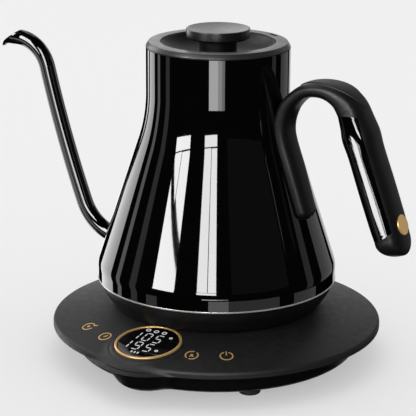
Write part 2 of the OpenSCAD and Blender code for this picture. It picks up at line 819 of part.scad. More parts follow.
module collar_ring() {
    color("#48484a") difference() {
        revolve([[neck_r - 0.4, neck_top_z], [neck_r - 0.3, neck_top_z + 0.8],
                 [neck_r - 1.7, collar_z], [lid_r + lid_gap, collar_z], [lid_r + lid_gap, ledge_z],
                 [sleeve_r, ledge_z], [sleeve_r, plug_z + 3], [sleeve_r + 1.4, plug_z + 3],
                 [sleeve_r + 1.4, neck_top_z - 2.4], [neck_r - body_wall - 2, neck_top_z - 2.4],
                 [neck_r - body_wall - 2, neck_top_z - 8], [neck_r - body_wall - 0.1, neck_top_z - 8],
                 [neck_r - body_wall - 0.1, neck_top_z]]);
        rotate([0, 0, vent_angle]) translate([lid_r + 3.2, -4, collar_z - 1.4]) cube([1.9, 8, 4]);
    }
}

dish_z = collar_z - 0.3 - dish_depth;
dish_flat_r = 12;
// Radius of the dish's hollow, from its rim to its flat bottom
dish_curve = ((lid_r - dish_flat_r) * (lid_r - dish_flat_r) + dish_depth * dish_depth) / (2 * dish_depth);

module lid_top() {
    lid_rim_z = collar_z - 0.3;
    a1 = asin((lid_r - 0.7 - dish_flat_r) / dish_curve);
    color("#1e1e1f") difference() {
        revolve(concat(
            [[0, dish_z]], arc(dish_flat_r, dish_z + dish_curve, dish_curve, -90, -90 + a1, 10),
            [[lid_r - 0.7, lid_rim_z], [lid_r, lid_rim_z], [lid_r, ledge_z + 0.1], [plug_r, ledge_z + 0.1],
             [plug_r, dish_z - 2], [0, dish_z - 2]]
        ));
        translate([0, 0, dish_z - 2 - cut]) cylinder(r = screw_r + 0.3, h = 10);
    }
}

module lid_cup() {
    cup_top = dish_z - 2.1;
    seal_z = plug_z + 3.4;
    color("#b8b8ba") revolve([
        [0, plug_z], [plug_r - 1, plug_z], [plug_r, plug_z + 1], [plug_r, seal_z],
        [plug_r - 1.2, seal_z], [plug_r - 1.2, seal_z + 2.2], [plug_r, seal_z + 2.2],
        [plug_r, cup_top], [plug_r - 1, cup_top], [plug_r - 1, seal_z + 3], [plug_r - 2.2, seal_z + 3],
        [plug_r - 2.2, seal_z - 0.8], [plug_r - 1, seal_z - 0.8], [plug_r - 1.2, plug_z + 1], [0, plug_z + 1]]);
}

module lid_seal() {
    color("#5a5a58") translate([0, 0, plug_z + 3.5])
        revolve([[plug_r - 1.1, 0], [plug_r, 0], [sleeve_r - 0.3, 1], [plug_r, 2], [plug_r - 1.1, 2]]);
}

module lid_knob() {
    head_z = collar_z + knob_rise;
    top_z = head_z + knob_h;
    hollow = 1.5;
    hollow_r = (pow(knob_r - 0.8, 2) + hollow * hollow) / (2 * hollow);
    color("#303032") difference() {
        revolve([[0, dish_z], [stem_r, dish_z], [stem_r, head_z], [knob_r - 0.9, head_z],
                 [knob_r, head_z + 0.9], [knob_r, top_z - 0.5], [knob_r - 0.5, top_z], [0, top_z]]);
        translate([0, 0, top_z - hollow + hollow_r]) sphere(r = hollow_r, $fn = 360);
        translate([0, 0, dish_z - cut]) cylinder(r = screw_r - 0.25, h = 10);
    }
}

module lid_screw() {
    color("silver") translate([0, 0, dish_z - 2]) screw(screw_r - 0.25, 10, screw_head_r, 1.4);
}

// ---- Handle --------------------------------------------------------------------------------

// Rows along the middle of the handle: [x, z, half thickness, half width]
foot_z = body_z + handle_foot_h;
arch_x = neck_r + arch_reach;
arch_z = neck_top_z - 15.9;
end_x = arch_x + grip_reach;
end_z = arch_z - grip_drop;
// A point on the line from the ledge of the grip to its end, f = 0 to 1
ledge_x = arch_x + 20.5;
ledge_row_z = arch_z - 24;
function grip_row(f, t) =
    [ledge_x + (end_x - ledge_x) * f, ledge_row_z + (end_z - ledge_row_z) * f, t, grip_half_w];
strap_mid_z = (foot_z + cone_z1 - 5) / 2;
rows = [
    [wall_r(foot_z) + 0.2, foot_z, strap_half_t, strap_half_w - 0.6],
    [wall_r(strap_mid_z) + 0.2, strap_mid_z, strap_half_t, strap_half_w],
    [wall_r(cone_z1 - 5) + 0.3, cone_z1 - 5, strap_half_t, strap_half_w],
    [neck_r + 4.6, arch_z - 14.4, strap_half_t - 0.4, strap_half_w],
    [neck_r + 11.4, arch_z - 5.9, strap_half_t - 0.9, strap_half_w + 0.2],
    [arch_x - 9.5, arch_z - 1.7, strap_half_t - 0.9, strap_half_w + 0.6],
    [arch_x, arch_z - 0.9, 4.6, strap_half_w + 1.2],
    [arch_x + 8.6, arch_z - 3.5, 5.8, strap_half_w + 2],
    [arch_x + 14.4, arch_z - 9, 7.2, grip_half_w - 0.9],
    [arch_x + 18, arch_z - 17, 8.2, grip_half_w - 0.3],
    grip_row(0, 9.3),
    grip_row(0.17, 8.7),
    grip_row(0.5, 8.9),
    grip_row(0.85, 8.7),
    grip_row(1, 8.2)
];
row_steps = 3;
section_sides = 24;
section_power = 2.7;
cap_l = 10;
cap_steps = 4;
// How far the rounded end of the grip leans outwards
cap_lean = 5;

function spline(p, q, r, s, t) =
    0.5 * (2 * q + (r - p) * t + (2 * p - 5 * q + 4 * r - s) * t * t + (3 * q - p - 3 * r + s) * t * t * t);
last_row = len(rows) - 1;
// The rows with each end carried on by one, so that the spline starts and ends straight
padded = concat([2 * rows[0] - rows[1]], rows, [2 * rows[last_row] - rows[last_row - 1]]);
line = concat(
    [for (i = [0:last_row - 1], k = [0:row_steps - 1])
        spline(padded[i], padded[i + 1], padded[i + 2], padded[i + 3], k / row_steps)],
    [rows[last_row]]);
line_n = len(line);
function heading(i) =
    let (a = line[max(i - 1, 0)], b = line[min(i + 1, line_n - 1)], d = [b[0] - a[0], b[1] - a[1]])
    d / norm(d);
// Row i with its direction: [x, z, half thickness, half width, dx, dz]
stations = concat(
    [for (k = [cap_steps:-1:1]) cap_station(0, -1, k)],
    [for (i = [0:line_n - 1]) concat(line[i], heading(i))],
    [for (k = [1:cap_steps]) cap_station(line_n - 1, 1, k)]);
// A station of the rounded end beyond row i
function cap_station(i, side, k) =
    let (d = heading(i), a = 84 * k / cap_steps, l = (side > 0 ? cap_l : 5) * sin(a), c = cos(a),
         out = side > 0 ? cap_lean * (1 - c) : 0)
    [line[i][0] + side * l * d[0] - out * d[1], line[i][1] + side * l * d[1] + out * d[0],
     line[i][2] * c, line[i][3] * c, d[0], d[1]];

module handle_solid() {
    loft(stations, section_sides, section_power);
}

// Points at distance u (towards the hollow side) beside rows first to last; reach(f) gives u
function beside(first, last, u) =
    [for (i = [first:last]) let (d = heading(i)) [line[i][0] + u * d[1], line[i][1] - u * d[0]]];

// Prism across the handle with this outline in the (x, z) plane
module across(points) {
    rotate([90, 0, 0]) translate([0, 0, -40]) linear_extrude(80) polygon(points);
}

liner_first = 24;
liner_last = line_n - 1;
// Depth of the parting line from the middle of the grip, f = 0 to 1 along the liner
function parting(i) =
    let (f = (i - liner_first) / (liner_last - liner_first), open = min(1, 3.2 * sin(180 * f)))
    line[i][2] + 1 - (line[i][2] + 7) * open;
parting_line = [for (i = [liner_first:liner_last]) let (d = heading(i), u = parting(i))
    [line[i][0] + u * d[1], line[i][1] - u * d[0]]];

module liner_zone() {
    across(concat(parting_line, reversed(beside(liner_first, liner_last, 16))));
}

leg_z = foot_z + 2;
// Frame on the cone under the strap: +Z up along the cone, +X out of it
module on_cone(z) {
    translate([wall_r(z), 0, z]) rotate([0, -cone_angle, 0]) children();
}
bracket_w = 10;
bracket_t = 1.6;
bracket_l = 30;
bracket_lift = 0.15;

module bracket_shape(grow) {
    on_cone(leg_z + 5) {
        translate([bracket_lift - grow, -bracket_w / 2 - grow, -grow])
            cube([bracket_t + 2 * grow, bracket_w + 2 * grow, bracket_l + 2 * grow]);
        translate([bracket_lift - grow, -bracket_w / 4 - grow, -grow])
            cube([3.6 + 2 * grow, bracket_w / 2 + 2 * grow, 6 + 2 * grow]);
    }
}

module handle_bracket() {
    color("#b8b8ba") difference() {
        bracket_shape(0);
        on_cone(leg_z + 5) translate([bracket_lift + 1.9, 0, -cut]) cylinder(r = 1, h = 6);
    }
}

module handle_screw() {
    color("silver") on_cone(leg_z + 5) translate([bracket_lift + 1.9, 0, -4.6]) screw(1, 9, 1.7, 1);
}

// The thumb pad: a leaf seen from above the arch
pad_row = 19;
pad_l = 37;
pad_half_w = 7.6;
pad_depth = 1.8;
module pad_leaf(grow) {
    n = 16;
    d = heading(pad_row);
    p = line[pad_row];
    function half_w(f) = pad_half_w * pow(sin(180 * pow(f, 1.25)), 0.75) + grow;
    translate([p[0], 0, p[1]]) rotate([0, -atan2(d[1], d[0]), 0]) translate([-pad_l / 2, 0, 0])
        linear_extrude(30) polygon(concat(
            [[-grow, 0]],
            [for (i = [1:n - 1]) [pad_l * i / n, -half_w(i / n)]],
            [[pad_l + grow, 0]],
            [for (i = [n - 1:-1:1]) [pad_l * i / n, half_w(i / n)]]));
}
// The bed of the pad: everything deeper than pad_depth under the outside of the arch
module pad_bed(grow) {
    across(concat(
        [for (i = [pad_row - 10:pad_row + 10]) let (d = heading(i), u = -line[i][2] + pad_depth + grow)
            [line[i][0] + u * d[1], line[i][1] - u * d[0]]],
        reversed(beside(pad_row - 10, pad_row + 10, 14))));
}

module thumb_pad() {
    color("#333334") difference() {
        intersection() {
            handle_solid();
            pad_leaf(0);
        }
        pad_bed(0);
    }
}

emblem_f = 0.89;
emblem_t = 1.2;
module at_emblem() {
    p = grip_row(emblem_f, 8.75);
    lean = atan((end_x - ledge_x) / (ledge_row_z - end_z));
    translate([p[0], 0, p[1]]) rotate([0, 90 - lean, 0]) translate([0, 0, 8.7 + 0.25 - emblem_t])
        children();
}

module handle_shell() {
    color("#1c1c1d") difference() {
        handle_solid();
        body_solid(0.05);
        liner_zone();
        difference() {
            pad_leaf(0.1);
            pad_bed(0.1);
        }
        bracket_shape(0.05);
        on_cone(leg_z + 5) translate([bracket_lift + 1.9, 0, -30]) cylinder(r = 1.9, h = 25.4);
        on_cone(leg_z + 5) translate([bracket_lift + 1.9, 0, -5]) cylinder(r = 1.1, h = 6);
        at_emblem() cylinder(r = emblem_r + 0.05, h = 6);
    }
}

module handle_liner() {
    color("#050505") intersection() {
        handle_solid();
        liner_zone();
    }
}

module handle_emblem() {
    color("#cfae62") at_emblem() cylinder(r = emblem_r, h = emblem_t);
}

// ---- Assembly ------------------------------------------------------------------------------

base_plate();
base_housing();
base_feet();
base_screws();
base_connector();
connector_contacts();
cord_inlet();
terminal_block();
power_board();
relay();
transformer();
touch_boards();
touch_springs();
touch_icons();
display_carrier();
dial_encoder();
display_board();
display_lens();
display_segments();
dial_ring();
kettle_socket();
socket_pin();
body_shell();
trim_ring();
bottom_cover();
cover_screws();
heating_plate();
element_plate();
heating_element();
temperature_sensor();
thermal_cutout();
spout_tube();
spout_collar();
collar_ring();
handle_bracket();
handle_screw();
handle_shell();
handle_liner();
thumb_pad();
handle_emblem();
lid_top();
lid_cup();
lid_seal();
lid_knob();
lid_screw();
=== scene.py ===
"""Gooseneck electric kettle on its power base: fine meshes, materials, light and camera.

Outlines are in millimetres and in the frame of the CAD model: +X to the handle, -X to the spout,
-Y to the display, +Z up. build() turns them into metres.
"""
import json
import math

import bpy
import bmesh
import numpy as np
from mathutils import Matrix, Vector


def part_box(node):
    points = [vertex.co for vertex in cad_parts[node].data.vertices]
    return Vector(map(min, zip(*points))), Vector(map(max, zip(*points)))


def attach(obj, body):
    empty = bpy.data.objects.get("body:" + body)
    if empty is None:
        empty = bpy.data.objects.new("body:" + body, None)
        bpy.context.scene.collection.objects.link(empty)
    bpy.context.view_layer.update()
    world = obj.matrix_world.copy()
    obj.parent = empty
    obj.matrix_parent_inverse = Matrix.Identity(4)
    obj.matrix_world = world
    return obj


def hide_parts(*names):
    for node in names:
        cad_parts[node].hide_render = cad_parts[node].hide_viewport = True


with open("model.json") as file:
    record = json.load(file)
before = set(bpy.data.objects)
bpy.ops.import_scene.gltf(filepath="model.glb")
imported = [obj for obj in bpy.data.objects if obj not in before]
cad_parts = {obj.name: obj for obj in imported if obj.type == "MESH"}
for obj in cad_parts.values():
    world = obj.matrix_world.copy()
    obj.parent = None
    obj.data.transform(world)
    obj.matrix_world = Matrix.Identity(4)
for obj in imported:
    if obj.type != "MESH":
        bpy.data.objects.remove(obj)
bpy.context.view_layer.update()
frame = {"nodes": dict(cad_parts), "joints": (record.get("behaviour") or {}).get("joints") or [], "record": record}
RECORD = frame["record"]
MM = 0.001


# ---- Sizes ---------------------------------------------------------------------------------------

def low(node):
    """Lowest corner of a CAD node, in millimetres."""
    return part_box(node)[0] / MM


def high(node):
    """Highest corner of a CAD node, in millimetres."""
    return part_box(node)[1] / MM


def joint(name):
    """The record's joint of this name."""
    return next(j for j in frame["joints"] if j["name"] == name)


FLANGE_T = 1.6
BASE_R = round(high("base_plate").x, 1)
EDGE_Z = high("base_housing").z - FLANGE_T
RIM_H = 2.4
RIM_ROUND = 1.4
DOME_R = 311
DOME_CZ = EDGE_Z + RIM_H - math.sqrt((DOME_R - RIM_ROUND) ** 2 - (BASE_R - RIM_ROUND) ** 2)
FLOOR_Z = low("base_housing").z
SHELL_T = 2.2
TUB_FLOOR_R = 79.5
TUB_TOP_R = 87
LOBE_FLOOR_R = 15
LOBE_TOP_R = 25

DIAL = joint("dial_turn")
POD = np.array(DIAL["pos_m"]) / MM
TILT = math.asin(-DIAL["axis"][1])
DIAL_R = 18.7
DIAL_BORE_R = 19.0
POD_TOP_R = 20.3
POD_FOOT_R = 28
POD_CUP = 6.8
DIAL_PROUD = 0.6

TRIM_Z = low("trim_ring").z
BODY_Z = low("body_shell").z
NECK_TOP = high("body_shell").z
BODY_R = round(high("body_shell").x, 1)
NECK_R = round(high("collar_ring").x, 1) + 0.3
CONE_Z0 = BODY_Z + 8.4
CONE_Z1 = NECK_TOP - 39.5
BAND_FILLET = 16
NECK_FILLET = 85
CONE_TAN = (BODY_R - NECK_R) / (CONE_Z1 - CONE_Z0)
COLLAR_Z = high("collar_ring").z
LID_R = round(high("lid_top").x, 1)
KNOB_R = round(high("lid_knob").x, 1)
KNOB_TOP = high("lid_knob").z


# ---- Outlines ------------------------------------------------------------------------------------

def arc(centre, radius, start, end, steps):
    """Points of an arc from angle start to angle end, in degrees."""
    turn = np.radians(np.linspace(start, end, steps + 1))
    return [(centre[0] + radius * math.cos(a), centre[1] + radius * math.sin(a)) for a in turn]


def corner(before, at, after, radius, steps):
    """Points of the arc that rounds the corner at `at`."""
    b, p, a = (np.array(q, float) for q in (before, at, after))
    u = (b - p) / np.linalg.norm(b - p)
    v = (a - p) / np.linalg.norm(a - p)
    half = math.acos(np.clip(u @ v, -1, 1)) / 2
    if half > math.radians(89.5) or radius <= 0:
        return [tuple(p)]
    radius = min(radius, 0.49 * math.tan(half) * min(np.linalg.norm(b - p), np.linalg.norm(a - p)))
    reach = radius / math.tan(half)
    centre = p + (u + v) / np.linalg.norm(u + v) * radius / math.sin(half)
    s, e = p + u * reach - centre, p + v * reach - centre
    start = math.degrees(math.atan2(s[1], s[0]))
    turn = math.degrees(math.atan2(e[1], e[0])) - start
    turn = (turn + 180) % 360 - 180
    return arc(centre, radius, start, start + turn, steps)


def rounded(points, radius=0.4, steps=4, closed=True):
    """An outline with its corners rounded; a point may carry its own radius as a third value."""
    n = len(points)
    out = []
    for i, p in enumerate(points):
        if not closed and i in (0, n - 1):
            out.append(tuple(p[:2]))
            continue
        r = p[2] if len(p) > 2 else radius
        out += corner(points[i - 1][:2], p[:2], points[(i + 1) % n][:2], r, steps)
    return out


def body_outline(inset, band_steps=20, neck_steps=48):
    """Outline of the kettle's body moved inwards by inset, from its foot to the top of the neck."""
    t = inset * math.tan(math.atan(CONE_TAN) / 2)
    a = (BODY_R - inset, BODY_Z)
    b = (BODY_R - inset, CONE_Z0 - t)
    c = (NECK_R - inset, CONE_Z1 - t)
    d = (NECK_R - inset, NECK_TOP)
    return ([a] + corner(a, b, c, BAND_FILLET - inset, band_steps)
            + corner(b, c, d, NECK_FILLET + inset, neck_steps) + [d])


def wall_r(z):
    """Radius of the body's outside at height z, without its fillets."""
    return NECK_R + min(max(CONE_Z1 - z, 0), CONE_Z1 - CONE_Z0) * CONE_TAN


def dome_z(r):
    """Height of the base's dome at distance r from the middle."""
    return DOME_CZ + math.sqrt(DOME_R ** 2 - r * r)


# ---- Meshes --------------------------------------------------------------------------------------

def show(thing):
    """Puts an object in the scene."""
    bpy.context.scene.collection.objects.link(thing)


def build(name, points, faces, sharp=35):
    """A smooth-shaded object in metres from points in millimetres."""
    mesh = bpy.data.meshes.new(name)
    mesh.from_pydata([Vector(p) * MM for p in points], [], faces)
    piece = bpy.data.objects.new(name, mesh)
    show(piece)
    tidy(piece, sharp)
    return piece


def tidy(piece, sharp=35):
    """Merges doubled points, makes the normals point outwards and shades smooth up to the angle sharp."""
    bm = bmesh.new()
    bm.from_mesh(piece.data)
    bmesh.ops.remove_doubles(bm, verts=bm.verts, dist=2e-6)
    bmesh.ops.dissolve_degenerate(bm, edges=bm.edges, dist=1e-6)
    bmesh.ops.recalc_face_normals(bm, faces=bm.faces)
    bm.to_mesh(piece.data)
    bm.free()
    for face in piece.data.polygons:
        face.use_smooth = True
    piece.data.set_sharp_from_angle(angle=math.radians(sharp))


def grid_faces(rows, columns, wrap_rows=False, wrap_columns=True, first=0):
    """Quads of a grid of points, closed round in the ways asked for."""
    faces = []
    for i in range(rows if wrap_rows else rows - 1):
        k = (i + 1) % rows
        for j in range(columns if wrap_columns else columns - 1):
            m = (j + 1) % columns
            faces.append((first + i * columns + j, first + i * columns + m,
                          first + k * columns + m, first + k * columns + j))
    return faces


def turned(outline, segments=192):
    """Points and faces of a closed (r, z) outline turned about the Z axis."""
    axis = [i for i, p in enumerate(outline) if p[0] < 1e-6]
    if axis:
        # Start the outline at the axis, so that its first and last points are the poles
        start = next(i for i in axis if outline[i - 1][0] < 1e-6 or len(axis) == 1)
        outline = outline[start:] + outline[:start]
    turn = np.linspace(0, 2 * np.pi, segments, endpoint=False)
    points = [(r * math.cos(a), r * math.sin(a), z) for r, z in outline for a in turn]
    return points, grid_faces(len(outline), segments, wrap_rows=not axis)


def lathe(name, outline, segments=192, sharp=35):
    """An object turned from a closed (r, z) outline."""
    return build(name, *turned(outline, segments), sharp)


def rod(name, radius, start, end, segments):
    """A plain cylinder along the Z axis, for cutting."""
    return lathe(name, [(0, start), (radius, start), (radius, end), (0, end)], segments)


def slab(low_corner, high_corner):
    """Points and faces of a block, for cutting."""
    points = [(x, y, z) for x in (low_corner[0], high_corner[0])
              for y in (low_corner[1], high_corner[1]) for z in (low_corner[2], high_corner[2])]
    return points, [(0, 1, 3, 2), (4, 6, 7, 5), (0, 4, 5, 1), (2, 3, 7, 6), (0, 2, 6, 4), (1, 5, 7, 3)]


def place(piece, matrix):
    """Moves the points of a piece by a matrix whose shift is in millimetres."""
    piece.data.transform(Matrix.Scale(MM, 4) @ matrix @ Matrix.Scale(1 / MM, 4))
    return piece


def on_circle(radius, degrees):
    """The shift to a place on a circle round the Z axis."""
    a = math.radians(degrees)
    return Matrix.Translation((radius * math.cos(a), radius * math.sin(a), 0))


def cut_out(piece, others, sharp=35):
    """Cuts the others out of the piece and deletes them."""
    for other in others:
        change = piece.modifiers.new("cut", "BOOLEAN")
        change.operation = "DIFFERENCE"
        change.solver = "MANIFOLD"
        change.object = other
    bpy.context.view_layer.update()
    result = bpy.data.meshes.new_from_object(piece.evaluated_get(bpy.context.evaluated_depsgraph_get()))
    piece.modifiers.clear()
    old, piece.data = piece.data, result
    bpy.data.meshes.remove(old)
    for other in others:
        bpy.data.objects.remove(other)
    tidy(piece, sharp)
    return piece


def join(piece, others, sharp=35):
    """Adds the meshes of the others to the piece."""
    bm = bmesh.new()
    for part in (piece, *others):
        bm.from_mesh(part.data)
    bm.to_mesh(piece.data)
    bm.free()
    for other in others:
        bpy.data.objects.remove(other)
    tidy(piece, sharp)
    return piece


def finish_piece(piece, body, slot, *nodes):
    """Gives a piece its body and the material of its slot, and hides the CAD nodes that it stands for."""
    piece.data.materials.clear()
    piece.data.materials.append(MATERIALS[slot])
    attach(piece, body)
    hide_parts(*nodes)
    return piece


# ---- Materials -----------------------------------------------------------------------------------

def material(name, dark, light, rough, grain=700, stretch=(1, 1, 1), bump=0.0, bump_grain=None, **sockets):
    """A material whose colour, roughness and surface vary with noise; sockets are set as they are."""
    mat = bpy.data.materials.new(name)
    mat.use_nodes = True
    nodes, links = mat.node_tree.nodes, mat.node_tree.links
    shader = nodes["Principled BSDF"]
    coords = nodes.new("ShaderNodeTexCoord")
    scale = nodes.new("ShaderNodeMapping")
    scale.inputs["Scale"].default_value = stretch
    links.new(coords.outputs["Object"], scale.inputs["Vector"])
    noise = nodes.new("ShaderNodeTexNoise")
    noise.inputs["Scale"].default_value = grain
    noise.inputs["Detail"].default_value = 4
    links.new(scale.outputs["Vector"], noise.inputs["Vector"])
    colour = nodes.new("ShaderNodeMix")
    colour.data_type = "RGBA"
    colour.inputs["A"].default_value = (*dark, 1)
    colour.inputs["B"].default_value = (*light, 1)
    links.new(noise.outputs["Fac"], colour.inputs["Factor"])
    links.new(colour.outputs["Result"], shader.inputs["Base Color"])
    rough_range = nodes.new("ShaderNodeMapRange")
    rough_range.inputs["From Min"].default_value = 0.3
    rough_range.inputs["From Max"].default_value = 0.7
    rough_range.inputs["To Min"].default_value = rough[0]
    rough_range.inputs["To Max"].default_value = rough[1]
    links.new(noise.outputs["Fac"], rough_range.inputs["Value"])
    links.new(rough_range.outputs["Result"], shader.inputs["Roughness"])
    if bump:
        fine = nodes.new("ShaderNodeTexNoise")
        fine.inputs["Scale"].default_value = bump_grain or grain
        fine.inputs["Detail"].default_value = 3
        links.new(scale.outputs["Vector"], fine.inputs["Vector"])
        relief = nodes.new("ShaderNodeBump")
        relief.inputs["Strength"].default_value = bump
        relief.inputs["Distance"].default_value = 0.0001
        links.new(fine.outputs["Fac"], relief.inputs["Height"])
        links.new(relief.outputs["Normal"], shader.inputs["Normal"])
    for socket, value in sockets.items():
        shader.inputs[socket.replace("_", " ")].default_value = value
    return mat


def grey(level):
    """A neutral colour."""
    return (level, level, level)


RINGS = (4, 4, 160)
MATERIALS = {
    "base_matte": material("base soft black plastic", grey(0.0085), grey(0.0115), (0.50, 0.60), 260,
                           bump=0.08, bump_grain=5200, Specular_IOR_Level=0.3),
    "housing_black": material("housing black plastic", grey(0.0028), grey(0.0042), (0.42, 0.55), 300,
                              bump=0.15, bump_grain=4200, Specular_IOR_Level=0.22),
    "foot_rubber": material("black rubber", grey(0.010), grey(0.016), (0.65, 0.8), 500, bump=0.4,
                            bump_grain=3000, Specular_IOR_Level=0.3),
    "steel_fastener": material("zinc plated steel", grey(0.42), grey(0.62), (0.25, 0.42), 900, bump=0.1,
                               Metallic=1.0),
    "connector_black": material("moulded black plastic", grey(0.010), grey(0.016), (0.32, 0.45), 400,
                                bump=0.15, bump_grain=2600),
    "brass_contact": material("brass contact", (0.62, 0.42, 0.15), (0.78, 0.58, 0.26), (0.18, 0.32), 600,
                              Metallic=1.0),
    "board_green": material("green solder mask", (0.012, 0.075, 0.035), (0.02, 0.11, 0.055), (0.25, 0.4),
                            320, bump=0.1),
    "relay_blue": material("blue relay case", (0.015, 0.03, 0.10), (0.025, 0.05, 0.15), (0.25, 0.35), 300,
                           bump=0.05),
    "transformer_tape": material("yellow winding tape", (0.40, 0.29, 0.05), (0.52, 0.39, 0.09), (0.4, 0.55),
                                 240, stretch=(1, 1, 12), bump=0.15),
    "gold_trim": material("satin gold", (0.70, 0.43, 0.16), (0.80, 0.51, 0.21), (0.34, 0.42), 900,
                          stretch=(1, 1, 6), bump=0.04, Metallic=0.45),
    "display_glass": material("black display glass", grey(0.0015), grey(0.003), (0.05, 0.08), 60,
                              Specular_IOR_Level=0.35),
    "display_light": material("lit digits", grey(0.42), grey(0.52), (0.4, 0.5), 600,
                              Emission_Color=(0.93, 0.96, 1.0, 1), Emission_Strength=0.38),
    "gloss_black": material("piano black enamel", grey(0.0012), grey(0.0022), (0.018, 0.034), 24,
                            bump=0.012, bump_grain=160, Specular_IOR_Level=0.5),
    "bright_steel": material("polished steel edge", grey(0.42), grey(0.52), (0.24, 0.34), 500,
                             stretch=RINGS, Metallic=0.45),
    "inner_steel": material("brushed steel", grey(0.42), grey(0.6), (0.22, 0.38), 40, stretch=RINGS,
                            bump=0.12, bump_grain=60, Metallic=1.0),
    "heater_alloy": material("cast aluminium", grey(0.45), grey(0.6), (0.4, 0.6), 500, bump=0.3,
                             Metallic=1.0),
    "heater_sheath": material("heat-darkened sheath", (0.20, 0.17, 0.13), (0.36, 0.33, 0.29), (0.35, 0.5),
                              120, Metallic=1.0),
    "cutout_ceramic": material("ceramic", (0.62, 0.58, 0.46), (0.76, 0.72, 0.61), (0.5, 0.7), 300,
                               bump=0.2),
    "collar_satin": material("satin dark metal", grey(0.017), grey(0.023), (0.30, 0.38), 30,
                             stretch=RINGS, bump=0.04, bump_grain=50, Specular_IOR_Level=0.6),
    "lid_matte": material("lid matte black", grey(0.003), grey(0.0045), (0.38, 0.48), 400, bump=0.12,
                          bump_grain=3200, Specular_IOR_Level=0.25),
    "knob_satin": material("knob satin metal", grey(0.006), grey(0.009), (0.26, 0.34), 30,
                           stretch=RINGS, bump=0.03, bump_grain=50, Specular_IOR_Level=0.6),
    "seal_silicone": material("grey silicone", grey(0.08), grey(0.12), (0.5, 0.65), 300, bump=0.1),
    "handle_matte": material("soft-touch black", grey(0.0035), grey(0.0050), (0.40, 0.48), 500, bump=0.06,
                             bump_grain=3600, Specular_IOR_Level=0.3),
    "handle_gloss": material("handle gloss black", grey(0.0012), grey(0.0022), (0.03, 0.05), 30,
                             bump=0.01, bump_grain=160),
    "pad_matte": material("thumb pad texture", grey(0.010), grey(0.014), (0.5, 0.6), 900, bump=0.3,
                          bump_grain=2400, Specular_IOR_Level=0.35),
}


def dress_cad_nodes():
    """Gives each CAD node the material of its slot."""
    for part in RECORD["subparts"]:
        mesh = frame["nodes"][part["node"]].data
        mesh.materials.clear()
        mesh.materials.append(MATERIALS[part["material_slot"]])


# ---- Base ----------------------------------------------------------------------------------------

def smooth_step(x, start, end):
    """0 before start, 1 after end, smooth between."""
    t = np.clip((x - start) / (end - start), 0, 1)
    return t * t * (3 - 2 * t)


def round_max(a, b, radius):
    """The larger of two distances, with the edge between them rounded."""
    inside = np.minimum(np.maximum(a, b) + radius, 0)
    return inside + np.hypot(np.maximum(a + radius, 0), np.maximum(b + radius, 0)) - radius


def smooth_min(a, b, k):
    """The smaller of two distances, with the valley between them filled over k."""
    h = np.maximum(k - np.abs(a - b), 0) / k
    return np.minimum(a, b) - h * h * k / 4


def plate_field(x, y, z):
    """Signed distance, roughly, to the outside of the base plate with its pod."""
    r = np.hypot(x, y)
    disc = round_max(np.hypot(r, z - DOME_CZ) - DOME_R, r - BASE_R, RIM_ROUND)
    rho = np.hypot(x - POD[0], y - POD[1])
    face_z = POD[2] + (y - POD[1]) * math.tan(TILT) - DIAL_PROUD / math.cos(TILT)
    drop = np.clip((face_z - z) / (face_z - EDGE_Z), 0, 1)
    flare = (1.45 - np.sqrt(1.45 ** 2 - 1.8 * drop)) / 0.9
    side = (rho - POD_TOP_R - (POD_FOOT_R - POD_TOP_R) * flare) * 0.75
    pod = round_max((z - face_z) * math.cos(TILT), side, 0.8)
    # The valley is wide at the pod's front and sides, and closes where the face meets the dome
    front = smooth_step((POD[1] - y) / POD_TOP_R, -0.75, 0.5)
    valley = 0.1 + (0.5 + 3 * front) * smooth_step(rho, POD_TOP_R - 0.6, POD_TOP_R + 2.4)
    return smooth_min(disc, pod, valley)


def housing_field(x, y, z):
    """Signed distance, roughly, to the outside of the lower housing with its lobe."""
    up = (z - FLOOR_Z) / (EDGE_Z - FLOOR_Z)
    tub = round_max(FLOOR_Z - z, (np.hypot(x, y) - TUB_FLOOR_R - (TUB_TOP_R - TUB_FLOOR_R) * up) * 0.88, 3)
    rho = np.hypot(x - POD[0], y - POD[1])
    lobe = round_max(FLOOR_Z - z, (rho - LOBE_FLOOR_R - (LOBE_TOP_R - LOBE_FLOOR_R) * up) * 0.82, 4)
    return smooth_min(tub, lobe, 3)


def ray_hits(field, turn, rise):
    """Where rays from the middle of the plate's lower edge leave the field's solid."""
    turn, rise = np.meshgrid(turn, rise)
    way = np.stack([np.cos(turn) * np.cos(rise), np.sin(turn) * np.cos(rise), np.sin(rise)])
    near, far = np.zeros(turn.shape), np.full(turn.shape, 125.0)
    for _ in range(34):
        middle = (near + far) / 2
        inside = field(way[0] * middle, way[1] * middle, EDGE_Z + way[2] * middle) < 0
        near, far = np.where(inside, middle, near), np.where(inside, far, middle)
    return np.moveaxis(way * near, 0, -1) + (0, 0, EDGE_Z)


BEND_WEIGHT = 7


def even_rows(curves, rows):
    """Resamples each column of points to rows that are closer where the column bends."""
    out = np.empty((rows, curves.shape[1], 3))
    step = np.linalg.norm(np.diff(curves, axis=0), axis=2)
    way = np.diff(curves, axis=0) / np.maximum(step, 1e-9)[..., None]
    bend = np.zeros(step.shape)
    bend[1:] = np.linalg.norm(np.diff(way, axis=0), axis=2)
    for _ in range(6):
        bend[1:-1] = (bend[:-2] + 2 * bend[1:-1] + bend[2:]) / 4
        bend = (np.roll(bend, 1, 1) + 2 * bend + np.roll(bend, -1, 1)) / 4
    run = np.concatenate([np.zeros((1, curves.shape[1])), np.cumsum(step + BEND_WEIGHT * bend, 0)])
    for j in range(curves.shape[1]):
        at = np.linspace(0, run[-1, j], rows)
        for k in range(3):
            out[:, j, k] = np.interp(at, run[:, j], curves[:, j, k])
    return out


def base_turns():
    """Angles of the columns round the base, closer together at the pod."""
    half = math.radians(24)
    near = np.linspace(-half, half, 260, endpoint=False)
    away = np.linspace(half, 2 * math.pi - half, 220, endpoint=False)
    return np.concatenate([near, away]) - math.pi / 2


